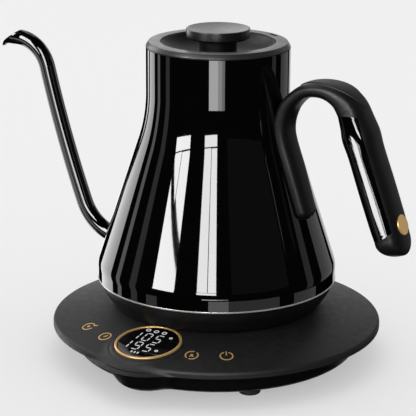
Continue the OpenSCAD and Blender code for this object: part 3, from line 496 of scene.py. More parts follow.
def shrunk(rows, inwards, flatten):
    """The same rows drawn towards the middle of the plate's lower edge."""
    out = rows.copy()
    r = np.hypot(rows[..., 0], rows[..., 1])
    keep = np.maximum(r * (1 - inwards / BASE_R), 0) / np.maximum(r, 1e-9)
    out[..., :2] *= keep[..., None]
    out[..., 2] = EDGE_Z + (rows[..., 2] - EDGE_Z) * flatten
    return out


POST_HOLE_R = 15
TO_DISPLAY = Matrix.Translation(POD) @ Matrix.Rotation(TILT, 4, "X")


def base_plate():
    """The plate's shell with the pod, bored for the dial, and the cup that holds the display."""
    turn = base_turns()
    steep = math.atan2(dome_z(POST_HOLE_R) - EDGE_Z, POST_HOLE_R)
    rise = steep * np.linspace(1, 0, 420) ** 2.2
    outside = even_rows(ray_hits(plate_field, turn, rise), 130)
    top = dome_z(0) - EDGE_Z
    inside = shrunk(outside, SHELL_T, 1 - SHELL_T / top)[::-3]
    rows = np.concatenate([outside, inside])
    plate = build("base_plate_shell", rows.reshape(-1, 3),
                  grid_faces(len(rows), len(turn), wrap_rows=True), 50)
    bore = place(rod("bore", DIAL_BORE_R, -12, 12, 160), TO_DISPLAY)
    cut_out(plate, [bore], sharp=50)
    cup_r, cup_top = POD_TOP_R + 0.4, -2
    cup_outline = [(DIAL_BORE_R, cup_top), (DIAL_BORE_R, -POD_CUP), (cup_r, -POD_CUP), (cup_r, cup_top)]
    cup = place(lathe("cup", rounded(cup_outline, 0.1, 2), 160), TO_DISPLAY)
    join(plate, [cup], 50)
    finish_piece(plate, "base", "base_matte", "base_plate")


BOSS_R = 50
BOSS_TURNS = (20, 160, 200, 340)
RECESS = 0.9
INLET_LIP = 1.6
INLET_R = (high("cord_inlet").x - low("cord_inlet").x) / 2
INLET_Z = (high("cord_inlet").z + low("cord_inlet").z) / 2
TO_INLET = Matrix.Translation((0, 0, INLET_Z)) @ Matrix.Rotation(-math.pi / 2, 4, "X")


def base_housing():
    """The housing's shell with its lobe, flange, inlet boss and screw recesses."""
    turn = base_turns()
    rise = -np.pi / 2 * np.linspace(1, 0, 220) ** 1.6
    outside = even_rows(ray_hits(housing_field, turn, rise), 60)
    edge = ray_hits(plate_field, turn, np.array([0.0]))
    flange = shrunk(edge, SHELL_T + 0.25, 1)
    flange_top = flange + (0, 0, FLANGE_T)
    depth = EDGE_Z - FLOOR_Z
    inside = shrunk(outside, SHELL_T, 1 - SHELL_T / depth)[::-2]
    inner_top = inside[:1] + (0, 0, FLANGE_T)
    rows = np.concatenate([outside, flange, flange_top, inner_top, inside])
    housing = build("base_housing_shell", rows.reshape(-1, 3), grid_faces(len(rows), len(turn)), 40)
    cuts = []
    for angle in BOSS_TURNS:
        recess = rod("recess", 3.2, FLOOR_Z - 2, FLOOR_Z + RECESS, 48)
        cuts.append(place(recess, on_circle(BOSS_R, angle)))
    out_y = high("cord_inlet").y - INLET_LIP
    cuts.append(place(rod("inlet hole", INLET_R - INLET_LIP, 60, 95, 64), TO_INLET))
    boss_outline = rounded([(INLET_R - 1.5, 76), (INLET_R + 0.4, 76), (INLET_R + 0.4, out_y, 0.6),
                            (INLET_R - 1.5, out_y)], 0.2, 3)
    boss = place(lathe("inlet boss", boss_outline, 64), TO_INLET)
    cut_out(housing, cuts, sharp=40)
    join(housing, [boss], 40)
    finish_piece(housing, "base", "housing_black", "base_housing")


def feet():
    """Four rubber feet with a shallow ring on the sole."""
    foot_r = 6.3
    circle = 71
    parts = []
    for angle in (45, 135, 225, 315):
        outline = rounded([(0, 0.35), (3.4, 0.35), (3.4, 0), (foot_r - 0.6, 0, 0.5), (foot_r, 1.2, 0.5),
                           (foot_r, 4), (0, 4)], 0.15, 4, closed=False)
        parts.append(place(lathe("rubber_feet", outline, 64), on_circle(circle, angle)))
    feet_piece = join(parts[0], parts[1:], 40)
    finish_piece(feet_piece, "base", "foot_rubber", "base_feet")


def inlet():
    """The grommet of the cord inlet."""
    y0, y1 = low("cord_inlet").y, high("cord_inlet").y
    bore_r = INLET_R - 3
    neck_r = INLET_R - INLET_LIP
    outline = rounded([(bore_r, y0), (INLET_R, y0), (INLET_R, y0 + INLET_LIP), (neck_r, y0 + INLET_LIP),
                       (neck_r, y1 - INLET_LIP), (INLET_R, y1 - INLET_LIP), (INLET_R, y1, 0.9),
                       (bore_r, y1, 0.7)], 0.2, 5)
    grommet = place(lathe("inlet_grommet", outline, 96), TO_INLET)
    finish_piece(grommet, "base", "foot_rubber", "cord_inlet")


def dial():
    """The gold dial ring with its rounded edges."""
    inner, top, foot = DIAL_R - 1.5, 0.25, -3
    outline = rounded([(inner, foot, 0.2), (DIAL_R, foot, 0.2), (DIAL_R, top - 0.35), (DIAL_R - 0.45, top),
                       (inner + 0.35, top), (inner, top - 0.35)], 0.3, 5)
    ring = place(lathe("gold_dial", outline, 256), TO_DISPLAY)
    finish_piece(ring, "dial", "gold_trim", "dial_ring")


def lens():
    """The black round window, slightly crowned at its rim."""
    r = DIAL_R - 1.7
    outline = rounded([(0, -1.5), (r, -1.5, 0.1), (r, -0.25, 0.35), (0, -0.25)], 0.3, 5, closed=False)
    window = place(lathe("display_window", outline, 192), TO_DISPLAY)
    finish_piece(window, "base", "display_glass", "display_lens")


# ---- Kettle --------------------------------------------------------------------------------------

WALL = 1.0
SPOUT_ROOT_H = 11


def spout_root():
    """Where the spout's axis meets the body, and the angle at which it leaves it."""
    z = BODY_Z + SPOUT_ROOT_H
    return (-wall_r(z), z), math.radians(12)


def body():
    """The enamelled outside and the brushed inside of the body, with the strainer's holes."""
    def skin(name, outer, inner):
        outline = body_outline(outer) + body_outline(inner)[::-1]
        return lathe(name, outline, 288, 30)

    (x, z), lean = spout_root()
    aim = Matrix.Translation((x, 0, z)) @ Matrix.Rotation(lean + math.pi / 2, 4, "Y")

    def holes():
        shapes = []
        for k in range(7):
            circle = 2.5 if k < 6 else 0
            shapes.append(place(rod("hole", 0.9, -20, 20, 20), aim @ on_circle(circle, 60 * k)))
        return shapes

    outside = cut_out(skin("body_enamel", 0, WALL / 2), holes(), sharp=30)
    finish_piece(outside, "kettle", "gloss_black", "body_shell")
    inside = cut_out(skin("body_inner_wall", WALL / 2, WALL), holes(), sharp=30)
    finish_piece(inside, "kettle", "inner_steel", "body_shell")


def body_solid(grow):
    """The body's outside as a solid, for cutting."""
    return lathe("body solid", [(0, BODY_Z)] + body_outline(-grow) + [(0, NECK_TOP)], 288)


def trim():
    """The bright ring at the foot of the body."""
    r, inner = BODY_R + 0.15, BODY_R - 2
    outline = rounded([(inner, TRIM_Z), (r, TRIM_Z, 0.3), (r, BODY_Z, 0.3), (inner, BODY_Z)], 0.1, 4)
    ring = lathe("bright_trim", outline, 288)
    finish_piece(ring, "kettle", "bright_steel", "trim_ring")


def bottom_cover():
    """The cover under the body, with its resting rim and the recesses of its screws."""
    floor_z = low("bottom_cover").z + (dome_z(0) - dome_z(61))
    foot_r, top_r, hole_r = 61, BODY_R - 1.3, 18.3
    foot_z = low("bottom_cover").z
    outline = rounded([
        (hole_r, floor_z, 0.4), (foot_r - 3.5, floor_z, 0.8), (foot_r - 2.8, foot_z, 0.8),
        (foot_r - 1, foot_z, 0.8), (foot_r, foot_z + 1.2, 1), (top_r - 1, TRIM_Z - 5, 16),
        (top_r, TRIM_Z, 0.1), (top_r - 2, TRIM_Z, 0.1),
        (top_r - 3, TRIM_Z - 5.4, 2), (foot_r - 1.6, floor_z + 2, 2), (hole_r, floor_z + 2, 0.4)], 0.4, 6)
    cover = lathe("kettle_underside", outline, 256)
    cuts = []
    for angle in (30, 150, 270):
        recess = rod("recess", 3.1, floor_z - 1, floor_z + RECESS, 48)
        cuts.append(place(recess, on_circle(53, angle)))
    cut_out(cover, cuts)
    finish_piece(cover, "kettle", "housing_black", "bottom_cover")


def collar():
    """The satin ring at the mouth with its vent slot, and its sleeve into the neck."""
    ledge_z = COLLAR_Z - 3.4
    sleeve_r = LID_R - 0.9
    sleeve_z = low("collar_ring").z
    outline = rounded([
        (NECK_R - 0.4, NECK_TOP, 0.1), (NECK_R - 0.3, NECK_TOP + 0.8, 0.5), (NECK_R - 1.7, COLLAR_Z, 0.7),
        (LID_R + 0.3, COLLAR_Z, 0.35), (LID_R + 0.3, ledge_z, 0.1), (sleeve_r, ledge_z, 0.2),
        (sleeve_r, sleeve_z, 0.3), (sleeve_r + 1.4, sleeve_z, 0.3), (sleeve_r + 1.4, NECK_TOP - 2.4, 0.1),
        (NECK_R - WALL - 2, NECK_TOP - 2.4, 0.1), (NECK_R - WALL - 2, NECK_TOP - 8, 0.2),
        (NECK_R - WALL - 0.1, NECK_TOP - 8, 0.2), (NECK_R - WALL - 0.1, NECK_TOP, 0.05)], 0.3, 5)
    ring = lathe("mouth_collar", outline, 256, 30)
    slot = build("slot", *slab((LID_R + 3.2, -4, COLLAR_Z - 1.4), (LID_R + 5.1, 4, COLLAR_Z + 2)))
    place(slot, Matrix.Rotation(math.radians(60), 4, "Z"))
    cut_out(ring, [slot], sharp=30)
    finish_piece(ring, "kettle", "collar_satin", "collar_ring")


# ---- Spout ---------------------------------------------------------------------------------------

SPOUT_ROOT_R = 4.9
SPOUT_TIP_R = 4.6
SPOUT_WALL = 0.8
SPOUT_SUNK = 6
SPOUT_RUN = 3
SPOUT_LOW_BEND = 29
SPOUT_LOW = math.radians(69)
SPOUT_REACH = 82.5
SPOUT_HIGH = math.radians(75.5)
SPOUT_TOP_BEND = 21.5
SPOUT_TIP = 11
LIP_SPARE = 4
LIP_SLOPE = math.radians(55)


class SpoutLine:
    """The spout's axis in the (distance, z) plane: straight, two bends up, one down, a level tip."""

    def __init__(self):
        (x, z), start = spout_root()
        self.parts = []
        self.at = np.array([-x, z]) - SPOUT_SUNK * self.way(start)
        self.angle = start
        self.run(SPOUT_SUNK + SPOUT_RUN, 0)
        self.run(SPOUT_LOW_BEND * (SPOUT_LOW - start), SPOUT_LOW)
        self.run(SPOUT_REACH, SPOUT_HIGH)
        self.run(SPOUT_TOP_BEND * SPOUT_HIGH, 0)
        self.run(SPOUT_TIP + LIP_SPARE, 0)
        self.length = sum(p[0] for p in self.parts)
        self.tip = self.point(self.length - LIP_SPARE)[0][0]

    @staticmethod
    def way(angle):
        return np.array([math.cos(angle), math.sin(angle)])

    def run(self, length, to_angle):
        """Adds a stretch that turns evenly to to_angle; the first stretch stays straight."""
        to_angle = self.angle if not self.parts else to_angle
        self.parts.append((length, self.at, self.angle, to_angle))
        self.at = self.end_of(self.parts[-1], length)
        self.angle = to_angle

    def end_of(self, part, s):
        length, at, a0, a1 = part
        if abs(a1 - a0) < 1e-9:
            return at + s * self.way(a0)
        radius = length / (a1 - a0)
        a = a0 + (a1 - a0) * s / length
        return at + radius * np.array([math.sin(a) - math.sin(a0), math.cos(a0) - math.cos(a)])

    def point(self, s):
        """(point, direction angle) at distance s along the axis."""
        for part in self.parts:
            if s <= part[0] or part is self.parts[-1]:
                return self.end_of(part, s), part[2] + (part[3] - part[2]) * s / part[0]
            s -= part[0]


def spout():
    """The swept tube, its mouth cut back from a lower lip that turns down a little."""
    line = SpoutLine()
    sides, rows, even = 64, 150, 120
    turn = np.linspace(0, 2 * np.pi, sides, endpoint=False)
    blend_from = line.length - 26

    def point_on(s, a, r):
        p, angle = line.point(s)
        normal = np.array([-math.sin(angle), math.cos(angle)])
        q = p + normal * r * math.cos(a)
        return np.array([-q[0], r * math.sin(a), q[1]])

    def past_mouth(p):
        """How far a point is beyond the mouth's plane."""
        return -p[0] - line.tip + math.tan(LIP_SLOPE) * (p[2] - line.point(line.length)[0][1] + SPOUT_TIP_R)

    def end_at(a, r):
        near, far = blend_from, line.length
        for _ in range(30):
            middle = (near + far) / 2
            near, far = (middle, far) if past_mouth(point_on(middle, a, r)) < 0 else (near, middle)
        return near

    def surface(inset):
        points = []
        ends = [end_at(a, SPOUT_TIP_R - inset) for a in turn]
        for i in range(rows):
            for a, end in zip(turn, ends):
                s = blend_from * i / even if i < even else (
                    blend_from + (end - blend_from) * (i - even) / (rows - 1 - even))
                r = SPOUT_ROOT_R + (SPOUT_TIP_R - SPOUT_ROOT_R) * min(s / line.length, 1) - inset
                p = point_on(s, a, r)
                # The lower lip turns down, and the rim flares a little
                lip = smooth_step(s, line.length - 10, line.length - LIP_SPARE) * (0.5 - 0.5 * math.cos(a))
                rim = smooth_step(s, end - 1.6, end)
                p[2] -= 1.9 * lip ** 2
                p[1] *= 1 + 0.06 * rim
                points.append(p)
        return points

    outside, inside = surface(0), surface(SPOUT_WALL)
    inside = [p for i in range(rows - 1, -1, -1) for p in inside[i * sides:(i + 1) * sides]]
    tube = build("gooseneck_spout", outside + inside, grid_faces(2 * rows, sides, wrap_rows=True), 40)
    cut_out(tube, [body_solid(-0.02)], sharp=40)
    finish_piece(tube, "kettle", "gloss_black", "spout_tube")


def spout_flare():
    """The flared root of the spout."""
    (x, z), lean = spout_root()
    inner, curve = SPOUT_ROOT_R + 0.02, 5
    outer = inner + 0.03 + curve
    outline = arc((outer, 6), curve, 180, 270, 12) + [(outer, -4), (inner, -4)]
    aim = Matrix.Translation((x, 0, z)) @ Matrix.Rotation(lean - math.pi / 2, 4, "Y")
    flare = place(lathe("spout_flare", outline, 96), aim)
    cut_out(flare, [body_solid(0)])
    finish_piece(flare, "kettle", "gloss_black", "spout_collar")


# ---- Lid -----------------------------------------------------------------------------------------

DISH_DEPTH = 8.5
DISH_FLAT_R = 12
DISH_Z = COLLAR_Z - 0.3 - DISH_DEPTH


def lid():
    """The dished lid."""
    rim_z = COLLAR_Z - 0.3
    curve = ((LID_R - DISH_FLAT_R) ** 2 + DISH_DEPTH ** 2) / (2 * DISH_DEPTH)
    sweep = math.degrees(math.asin((LID_R - 0.7 - DISH_FLAT_R) / curve))
    plug_r = LID_R - 1.7
    dish = arc((DISH_FLAT_R, DISH_Z + curve), curve, -90, -90 + sweep, 30)
    rim = rounded([dish[-2], (*dish[-1], 0.4), (LID_R, rim_z, 0.3), (LID_R, COLLAR_Z - 3.3, 0.1),
                   (plug_r, COLLAR_Z - 3.3, 0.1), (plug_r, DISH_Z - 2, 0.1), (1.8, DISH_Z - 2)], 0.3, 4,
                  closed=False)[1:]
    outline = [(1.8, DISH_Z)] + dish[:-1] + rim
    top = lathe("lid_dish", outline, 256)
    finish_piece(top, "lid", "lid_matte", "lid_top")


def lid_cup():
    """The steel cup under the lid, with the groove of its seal."""
    z = low("lid_cup").z
    r = LID_R - 1.7
    top = DISH_Z - 2.1
    seal = z + 3.4
    outline = rounded([
        (0, z), (r - 1, z, 0.9), (r, z + 1, 0.9), (r, seal), (r - 1.2, seal), (r - 1.2, seal + 2.2),
        (r, seal + 2.2), (r, top), (r - 1, top), (r - 1, seal + 3), (r - 2.2, seal + 3, 0.3),
        (r - 2.2, seal - 0.8, 0.3), (r - 1, seal - 0.8, 0.3), (r - 1.2, z + 1, 0.3), (0, z + 1)], 0.1, 4,
        closed=False)
    cup = lathe("lid_steel_cup", outline, 192)
    finish_piece(cup, "lid", "inner_steel", "lid_cup")


def knob():
    """The mushroom knob, its head hollowed on top."""
    head_z = COLLAR_Z + 1.7
    hollow = 1.5
    curve = ((KNOB_R - 0.9) ** 2 + hollow ** 2) / (2 * hollow)
    sweep = math.degrees(math.asin((KNOB_R - 0.9) / curve))
    bowl = arc((0, KNOB_TOP - hollow + curve), curve, -90 + sweep, -90, 40)
    stem_r, screw_r = 10.5, 1.25
    side = rounded([(stem_r - 2, DISH_Z), (stem_r, DISH_Z, 0.1), (stem_r, head_z, 0.8),
                    (KNOB_R - 0.9, head_z, 0.4), (KNOB_R, head_z + 0.9, 0.5), (KNOB_R, KNOB_TOP - 0.1, 0.45),
                    bowl[0]], 0.4, 6, closed=False)[1:-1]
    outline = ([(screw_r, DISH_Z)] + side + bowl[:-1]
               + [(0, KNOB_TOP - hollow), (0, DISH_Z + 9), (screw_r, DISH_Z + 9)])
    top = lathe("lid_mushroom_knob", outline, 256, 32)
    finish_piece(top, "lid", "knob_satin", "lid_knob")


# ---- Handle --------------------------------------------------------------------------------------

STRAP_W = 8.8
STRAP_T = 5
GRIP_W = 12
FOOT_Z = BODY_Z + 46
ARCH = np.array([NECK_R + 28.4, NECK_TOP - 15.9])
GRIP_LEDGE = ARCH + (20.5, -24)
GRIP_END = ARCH + (41, -79)
STRAP_Z = (FOOT_Z + CONE_Z1 - 5) / 2
SECTION_POWER = 2.7
CAP_L = 10
FOOT_CAP_L = 5
CAP_LEAN = 5


def grip_row(f, t):
    """A row on the straight grip, f = 0 at its ledge and 1 at its end."""
    p = GRIP_LEDGE + (GRIP_END - GRIP_LEDGE) * f
    return (p[0], p[1], t, GRIP_W)


# Rows along the middle of the handle: x, z, half thickness, half width
HANDLE_ROWS = np.array([
    (wall_r(FOOT_Z) + 0.2, FOOT_Z, STRAP_T, STRAP_W - 0.6),
    (wall_r(STRAP_Z) + 0.2, STRAP_Z, STRAP_T, STRAP_W),
    (wall_r(CONE_Z1 - 5) + 0.3, CONE_Z1 - 5, STRAP_T, STRAP_W),
    (NECK_R + 4.6, ARCH[1] - 14.4, STRAP_T - 0.4, STRAP_W),
    (NECK_R + 11.4, ARCH[1] - 5.9, STRAP_T - 0.9, STRAP_W + 0.2),
    (ARCH[0] - 9.5, ARCH[1] - 1.7, STRAP_T - 0.9, STRAP_W + 0.6),
    (ARCH[0], ARCH[1] - 0.9, 4.6, STRAP_W + 1.2),
    (ARCH[0] + 8.6, ARCH[1] - 3.5, 5.8, STRAP_W + 2),
    (ARCH[0] + 14.4, ARCH[1] - 9, 7.2, GRIP_W - 0.9),
    (ARCH[0] + 18, ARCH[1] - 17, 8.2, GRIP_W - 0.3),
    grip_row(0, 9.3),
    grip_row(0.17, 8.7),
    grip_row(0.5, 8.9),
    grip_row(0.85, 8.7),
    grip_row(1, 8.2),
])
LAST_ROW = len(HANDLE_ROWS) - 1
LINER_FROM = 8


def handle_row(s):
    """The row at s, counted in rows from the foot, and the direction of the handle there."""
    before, after = 2 * HANDLE_ROWS[0] - HANDLE_ROWS[1], 2 * HANDLE_ROWS[-1] - HANDLE_ROWS[-2]
    rows = np.vstack([before, HANDLE_ROWS, after])
    i = min(int(s), LAST_ROW - 1)
    t = s - i
    p, q, r, e = rows[i:i + 4]
    slope, bend, twist = r - p, 2 * p - 5 * q + 4 * r - e, 3 * q - p - 3 * r + e
    row = 0.5 * (2 * q + slope * t + bend * t * t + twist * t ** 3)
    way = 0.5 * (slope + 2 * bend * t + 3 * twist * t * t)[:2]
    return row, way / np.linalg.norm(way)


def handle_stations(start, end, steps_per_row, caps):
    """Stations [s, x, z, half thickness, half width, dx, dz] with rounded ends."""
    out = []
    for s in np.linspace(start, end, max(2, round((end - start) * steps_per_row) + 1)):
        row, way = handle_row(s)
        out.append([s, *row, *way])
    for side, at in ((-1, 0), (1, LAST_ROW)) if caps else ():
        row, way = handle_row(at)
        cap = []
        for a in np.radians(np.linspace(6, 88, 16)):
            reach = side * (CAP_L if side > 0 else FOOT_CAP_L) * math.sin(a)
            lean = CAP_LEAN * (1 - math.cos(a)) * np.array([-way[1], way[0]]) if side > 0 else 0
            cap.append([at, *(row[:2] + reach * way + lean), *(row[2:] * math.cos(a)), *way])
        out = cap[::-1] + out if side < 0 else out + cap
    return out


def section_point(station, a, inset=0.0):
    """Point at angle a of a station's boxy outline; a = 0 faces the hollow side."""
    _, x, z, t, w, dx, dz = station
    e = 2 / SECTION_POWER
    u = (t - inset) * math.copysign(abs(math.cos(a)) ** e, math.cos(a))
    v = (w - inset) * math.copysign(abs(math.sin(a)) ** e, math.sin(a))
    return (x + u * dz, v, z - u * dx)


def parting(s, t):
    """Depth of the parting line between shell and gloss insert, towards the hollow side."""
    f = (s - LINER_FROM) / (LAST_ROW - LINER_FROM)
    if f <= 0 or f >= 1:
        return t
    return min(t, t + 1 - (t + 7) * min(1, 3.2 * math.sin(math.pi * f)))


def parting_angle(station):
    """Angle of the section at which the parting line runs, 0 where there is no insert."""
    s, t = station[0], station[3]
    u = parting(s, t) / t
    c = math.copysign(abs(u) ** (SECTION_POWER / 2), u)
    return math.acos(min(1, max(-1, c)))


def loft(name, rings):
    """A closed skin over rings that all have the same number of points."""
    n, sides = len(rings), len(rings[0])
    faces = grid_faces(n, sides)
    faces += [tuple(range(sides)), tuple((n - 1) * sides + j for j in range(sides))]
    return build(name, [p for ring in rings for p in ring], faces, 38)


def handle():
    """The soft-touch shell, parted from the gloss insert on the hollow side of the grip."""
    rings = []
    for station in handle_stations(0, LAST_ROW, 14, True):
        a0 = parting_angle(station) if station[0] < LAST_ROW else 0
        rings.append([section_point(station, a) for a in np.linspace(a0, 2 * math.pi - a0, 96)])
    shell = cut_out(loft("handle_shell_soft", rings), [body_solid(0.05)], sharp=38)
    finish_piece(shell, "kettle", "handle_matte", "handle_shell")


def handle_insert():
    """The piano black insert of the grip."""
    rings = []
    for station in handle_stations(LINER_FROM + 0.02, LAST_ROW - 0.02, 14, False):
        a0 = parting_angle(station)
        rings.append([section_point(station, a, 0.1) for a in np.linspace(-a0, a0, 48)])
    insert = loft("handle_insert_gloss", rings)
    finish_piece(insert, "kettle", "handle_gloss", "handle_liner")


def thumb_pad():
    """The leaf-shaped pad on the arch, a little proud of the shell."""
    centre, half_l, half_w = 19 / 3, 18.5, 7.6
    # Distance along the handle for a change of 1 in s, near the pad
    spread = np.linalg.norm(handle_row(centre + 0.5)[0][:2] - handle_row(centre - 0.5)[0][:2])
    length, across = 56, 24
    edge_l, edge_w = 1.4, 0.9

    def surface(lift):
        """Points of a sheet over the arch; a raised one curves down to the arch at its edge."""
        points = []
        for i in range(length + 1):
            f = i / length
            s = centre + (2 * f - 1) * half_l / spread
            r, d = handle_row(s)
            wide = half_w * math.sin(math.pi * min(max(f, 0.001), 0.999) ** 1.25) ** 0.75
            for j in range(across + 1):
                v = math.sin(math.pi * (j / across - 0.5))
                y = v * wide
                t, w = r[2], r[3]
                u = -t * (1 - (abs(y) / w) ** SECTION_POWER) ** (1 / SECTION_POWER)
                edge = min(1, (1 - abs(v)) * wide / edge_w, min(f, 1 - f) * 2 * half_l / edge_l)
                u -= lift * math.sqrt(max(0, 1 - (1 - edge) ** 2)) if lift > 0 else lift
                points.append((r[0] + u * d[1], y, r[1] - u * d[0]))
        return points

    top, bottom = surface(0.55), surface(-1.4)
    n, m = length + 1, across + 1
    faces = grid_faces(n, m, wrap_columns=False) + grid_faces(n, m, wrap_columns=False, first=n * m)
    rim = ([(0, j) for j in range(m)] + [(i, m - 1) for i in range(1, n)]
           + [(n - 1, j) for j in range(m - 2, -1, -1)] + [(i, 0) for i in range(n - 2, 0, -1)])
    ids = [i * m + j for i, j in rim]
    faces += [(ids[k], ids[(k + 1) % len(ids)], ids[(k + 1) % len(ids)] + n * m, ids[k] + n * m)
              for k in range(len(ids))]
    pad = build("thumb_leaf_pad", top + bottom, faces, 45)
    finish_piece(pad, "kettle", "pad_matte", "thumb_pad")


def emblem():
    """A plain gold disc with a rounded rim on the back of the grip."""
    row = grip_row(0.89, 8.75)
    lean = math.atan2(GRIP_END[0] - GRIP_LEDGE[0], GRIP_LEDGE[1] - GRIP_END[1])
    at = Matrix.Translation((row[0], 0, row[1])) @ Matrix.Rotation(math.pi / 2 - lean, 4, "Y")
    r, foot, top = 5.6, 7.8, 8.95
    outline = rounded([(0, foot), (r, foot, 0.1), (r, top + 0.1, 0.35), (r - 0.7, top + 0.15), (r - 1, top),
                       (0, top)], 0.3, 5, closed=False)
    disc = place(lathe("gold_emblem", outline, 96), at)
    finish_piece(disc, "kettle", "gold_trim", "handle_emblem")


# ---- Stage, light and camera ---------------------------------------------------------------------

CAMERA_AT = Vector((0.495199, -0.857710, 0.376469))
CAMERA_RIGHT = Vector((0.86267, 0.505745, 0.004734))
CAMERA_UP = Vector((-0.14679, 0.241407, 0.959258))
CAMERA_FORWARD = Vector((-0.483997, 0.828218, -0.282493))
CAMERA_ANGLE = math.radians(13.15)
SURROUND = 0.86
SURROUND_STRENGTH = 0.9
CARD_NEAR = 6.0
CARD_FAR = 9.0
FLOOR_ALBEDO = 0.5
FLOOR_GLOW = 0.42


def camera():
    """The camera at the photograph's place."""
    data = bpy.data.cameras.new("camera")
    data.sensor_fit = "HORIZONTAL"
    data.angle = CAMERA_ANGLE
    data.clip_start, data.clip_end = 0.05, 60
    cam = bpy.data.objects.new("camera", data)
    turn = Matrix((CAMERA_RIGHT, CAMERA_UP, -CAMERA_FORWARD)).transposed().to_4x4()
    cam.matrix_world = Matrix.Translation(CAMERA_AT) @ turn
    show(cam)
    bpy.context.scene.camera = cam


def stage_material(name, glow, albedo=0.0):
    """A matte material of this albedo that also glows."""
    mat = bpy.data.materials.new(name)
    mat.use_nodes = True
    nodes, links = mat.node_tree.nodes, mat.node_tree.links
    nodes.clear()
    matte = nodes.new("ShaderNodeBsdfDiffuse")
    matte.inputs["Color"].default_value = (*grey(albedo), 1)
    light = nodes.new("ShaderNodeEmission")
    light.inputs["Color"].default_value = (1, 1, 1, 1)
    light.inputs["Strength"].default_value = glow
    both = nodes.new("ShaderNodeAddShader")
    output = nodes.new("ShaderNodeOutputMaterial")
    links.new(matte.outputs[0], both.inputs[0])
    links.new(light.outputs[0], both.inputs[1])
    links.new(both.outputs[0], output.inputs["Surface"])
    return mat


def floor():
    """A wide pale floor that the gloss doesn't mirror; its glow keeps the shadows on it faint."""
    mesh = bpy.data.meshes.new("floor")
    w = 14
    mesh.from_pydata([(-w, -w, 0), (w, -w, 0), (w, w, 0), (-w, w, 0)], [], [(0, 1, 2, 3)])
    plane = bpy.data.objects.new("floor", mesh)
    mesh.materials.append(stage_material("pale floor", FLOOR_GLOW, FLOOR_ALBEDO))
    show(plane)
    plane.visible_glossy = False


def aim(azimuth, elevation):
    """Direction at an azimuth from the camera's own, positive to its right, and an elevation."""
    back = Vector((-CAMERA_FORWARD.x, -CAMERA_FORWARD.y, 0)).normalized()
    side = Vector((-back.y, back.x, 0))
    a, e = math.radians(azimuth), math.radians(elevation)
    return (back * math.cos(a) + side * math.sin(a)) * math.cos(e) + Vector((0, 0, math.sin(e)))


def card(name, azimuths, elevations, strength, distance=CARD_NEAR, slant=0.0, only=None):
    """A glowing panel that only gloss sees, spread over azimuths and elevations seen from the kettle.

    slant raises its upper and lower edges by that many degrees from left to right; only names the
    one piece that the panel lights."""
    across, up = 24, 6
    centre = Vector((0, 0, 0.11))
    points = []
    for i in range(up + 1):
        for j in range(across + 1):
            f = j / across
            a = azimuths[0] + (azimuths[1] - azimuths[0]) * f
            e = elevations[0] + (elevations[1] - elevations[0]) * i / up + slant * (f - 0.5)
            points.append(centre + distance * aim(a, e))
    mesh = bpy.data.meshes.new(name)
    mesh.from_pydata(points, [], grid_faces(up + 1, across + 1, wrap_columns=False))
    mesh.materials.append(stage_material(name, strength))
    panel = bpy.data.objects.new(name, mesh)
    show(panel)
    panel.visible_camera = False
    panel.visible_diffuse = False
    panel.visible_shadow = False
    panel.visible_transmission = False
    if only:
        lit = bpy.data.collections.new(name)
        lit.objects.link(bpy.data.objects[only])
        panel.light_linking.receiver_collection = lit


def window(name, azimuths, mullion, elevations, bar, strength):
    """A tall window of glowing panes, parted by a bar across and a mullion above it."""
    a0, a1 = azimuths
    e0, e1 = elevations
    card(name + " low", (a0, a1), (e0, bar - 0.5), strength, slant=-0.6)
    for side, (left, right) in (("left", (a0, mullion - 0.35)), ("right", (mullion + 0.35, a1))):
        card(f"{name} high {side}", (left, right), (bar + 0.5, e1), strength, slant=-0.3)


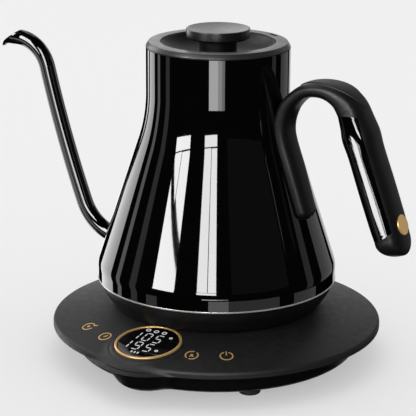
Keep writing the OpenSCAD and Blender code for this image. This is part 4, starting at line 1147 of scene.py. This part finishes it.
def cards():
    """The bright surroundings that the gloss mirrors."""
    window("window left", (-63, -41), -53, (6, 40), 15.2, 21)
    window("window right", (-19, -0.8), -9, (6, 40), 14.6, 19)
    # The neck mirrors one panel, which fades to the right
    for name, azimuths, strength in (("front", (-14, 0), 8.7), ("front edge", (0, 6), 5.5),
                                     ("front end", (6, 10.5), 3.3)):
        card(name + " card", azimuths, (-13.8, -10.8), strength)
    # The upright band at the foot of the body mirrors low panels
    for name, azimuths, strength in (("middle", (-8, 11), 2), ("right", (11, 62), 0.55),
                                     ("far right", (79, 110), 0.5), ("left", (-71, -59), 0.6)):
        card("band card " + name, azimuths, (-24, -18.4), strength)
    # Tall walls and the backdrop beside and behind the kettle
    for name, azimuths, elevations, strength in (
            ("left wall", (-147, -119.5), (-40, 60), 3), ("left streak", (-110, -104), (-40, 60), 1.2),
            ("left edge", (-90, -82), (-40, 60), 0.45), ("backdrop left", (-180, -165), (-60, 70), 1.5),
            ("backdrop right", (153, 180), (-60, 70), 0.9), ("right haze", (14, 72), (8, 40), 0.06),
            ("right wall", (94, 103), (-16, 40), 0.3), ("right end", (117, 145), (-16, 40), 0.4)):
        card(name, azimuths, elevations, strength)
    card("grip card", (-62, -20), (-14.5, -8), 20, CARD_FAR, 7.5, "handle_insert_gloss")
    card("grip edge card", (-135, -99), (-30, -26.6), 10, CARD_FAR, only="handle_insert_gloss")
    for name, azimuths, elevations, strength in (
            ("line", (-21, -2), (-3, 16), 14), ("right", (104, 165), (-12, 24), 2),
            ("left", (-104, -56), (-25, -11), 2.4), ("faint", (-50, -22), (-10, 2), 1.2)):
        card(f"spout {name} card", azimuths, elevations, strength, CARD_FAR, only="gooseneck_spout")


def lights():
    """Soft light from above and an even surround."""
    world = bpy.data.worlds.new("world")
    world.use_nodes = True
    background = world.node_tree.nodes["Background"]
    background.inputs["Color"].default_value = (*grey(SURROUND), 1)
    background.inputs["Strength"].default_value = SURROUND_STRENGTH
    bpy.context.scene.world = world
    world.cycles_visibility.glossy = False
    softbox = bpy.data.lights.new("top softbox", "AREA")
    softbox.size = 2.4
    softbox.energy = 12
    top = bpy.data.objects.new("top softbox", softbox)
    top.location = (-0.6, 0.5, 2.6)
    top.rotation_mode = "QUATERNION"
    top.rotation_quaternion = (Vector((0, 0, 0.05)) - top.location).to_track_quat("-Z", "Y")
    top.visible_camera = False
    top.visible_glossy = False
    show(top)
    bpy.context.scene.view_settings.view_transform = "Standard"


# ---- Making --------------------------------------------------------------------------------------

camera()
dress_cad_nodes()
for make in (base_plate, base_housing, feet, inlet, dial, lens, body, trim, bottom_cover, collar, spout,
             spout_flare, lid, lid_cup, knob, handle, handle_insert, thumb_pad, emblem,
             floor, cards, lights):
    make()

bpy.context.view_layer.update()
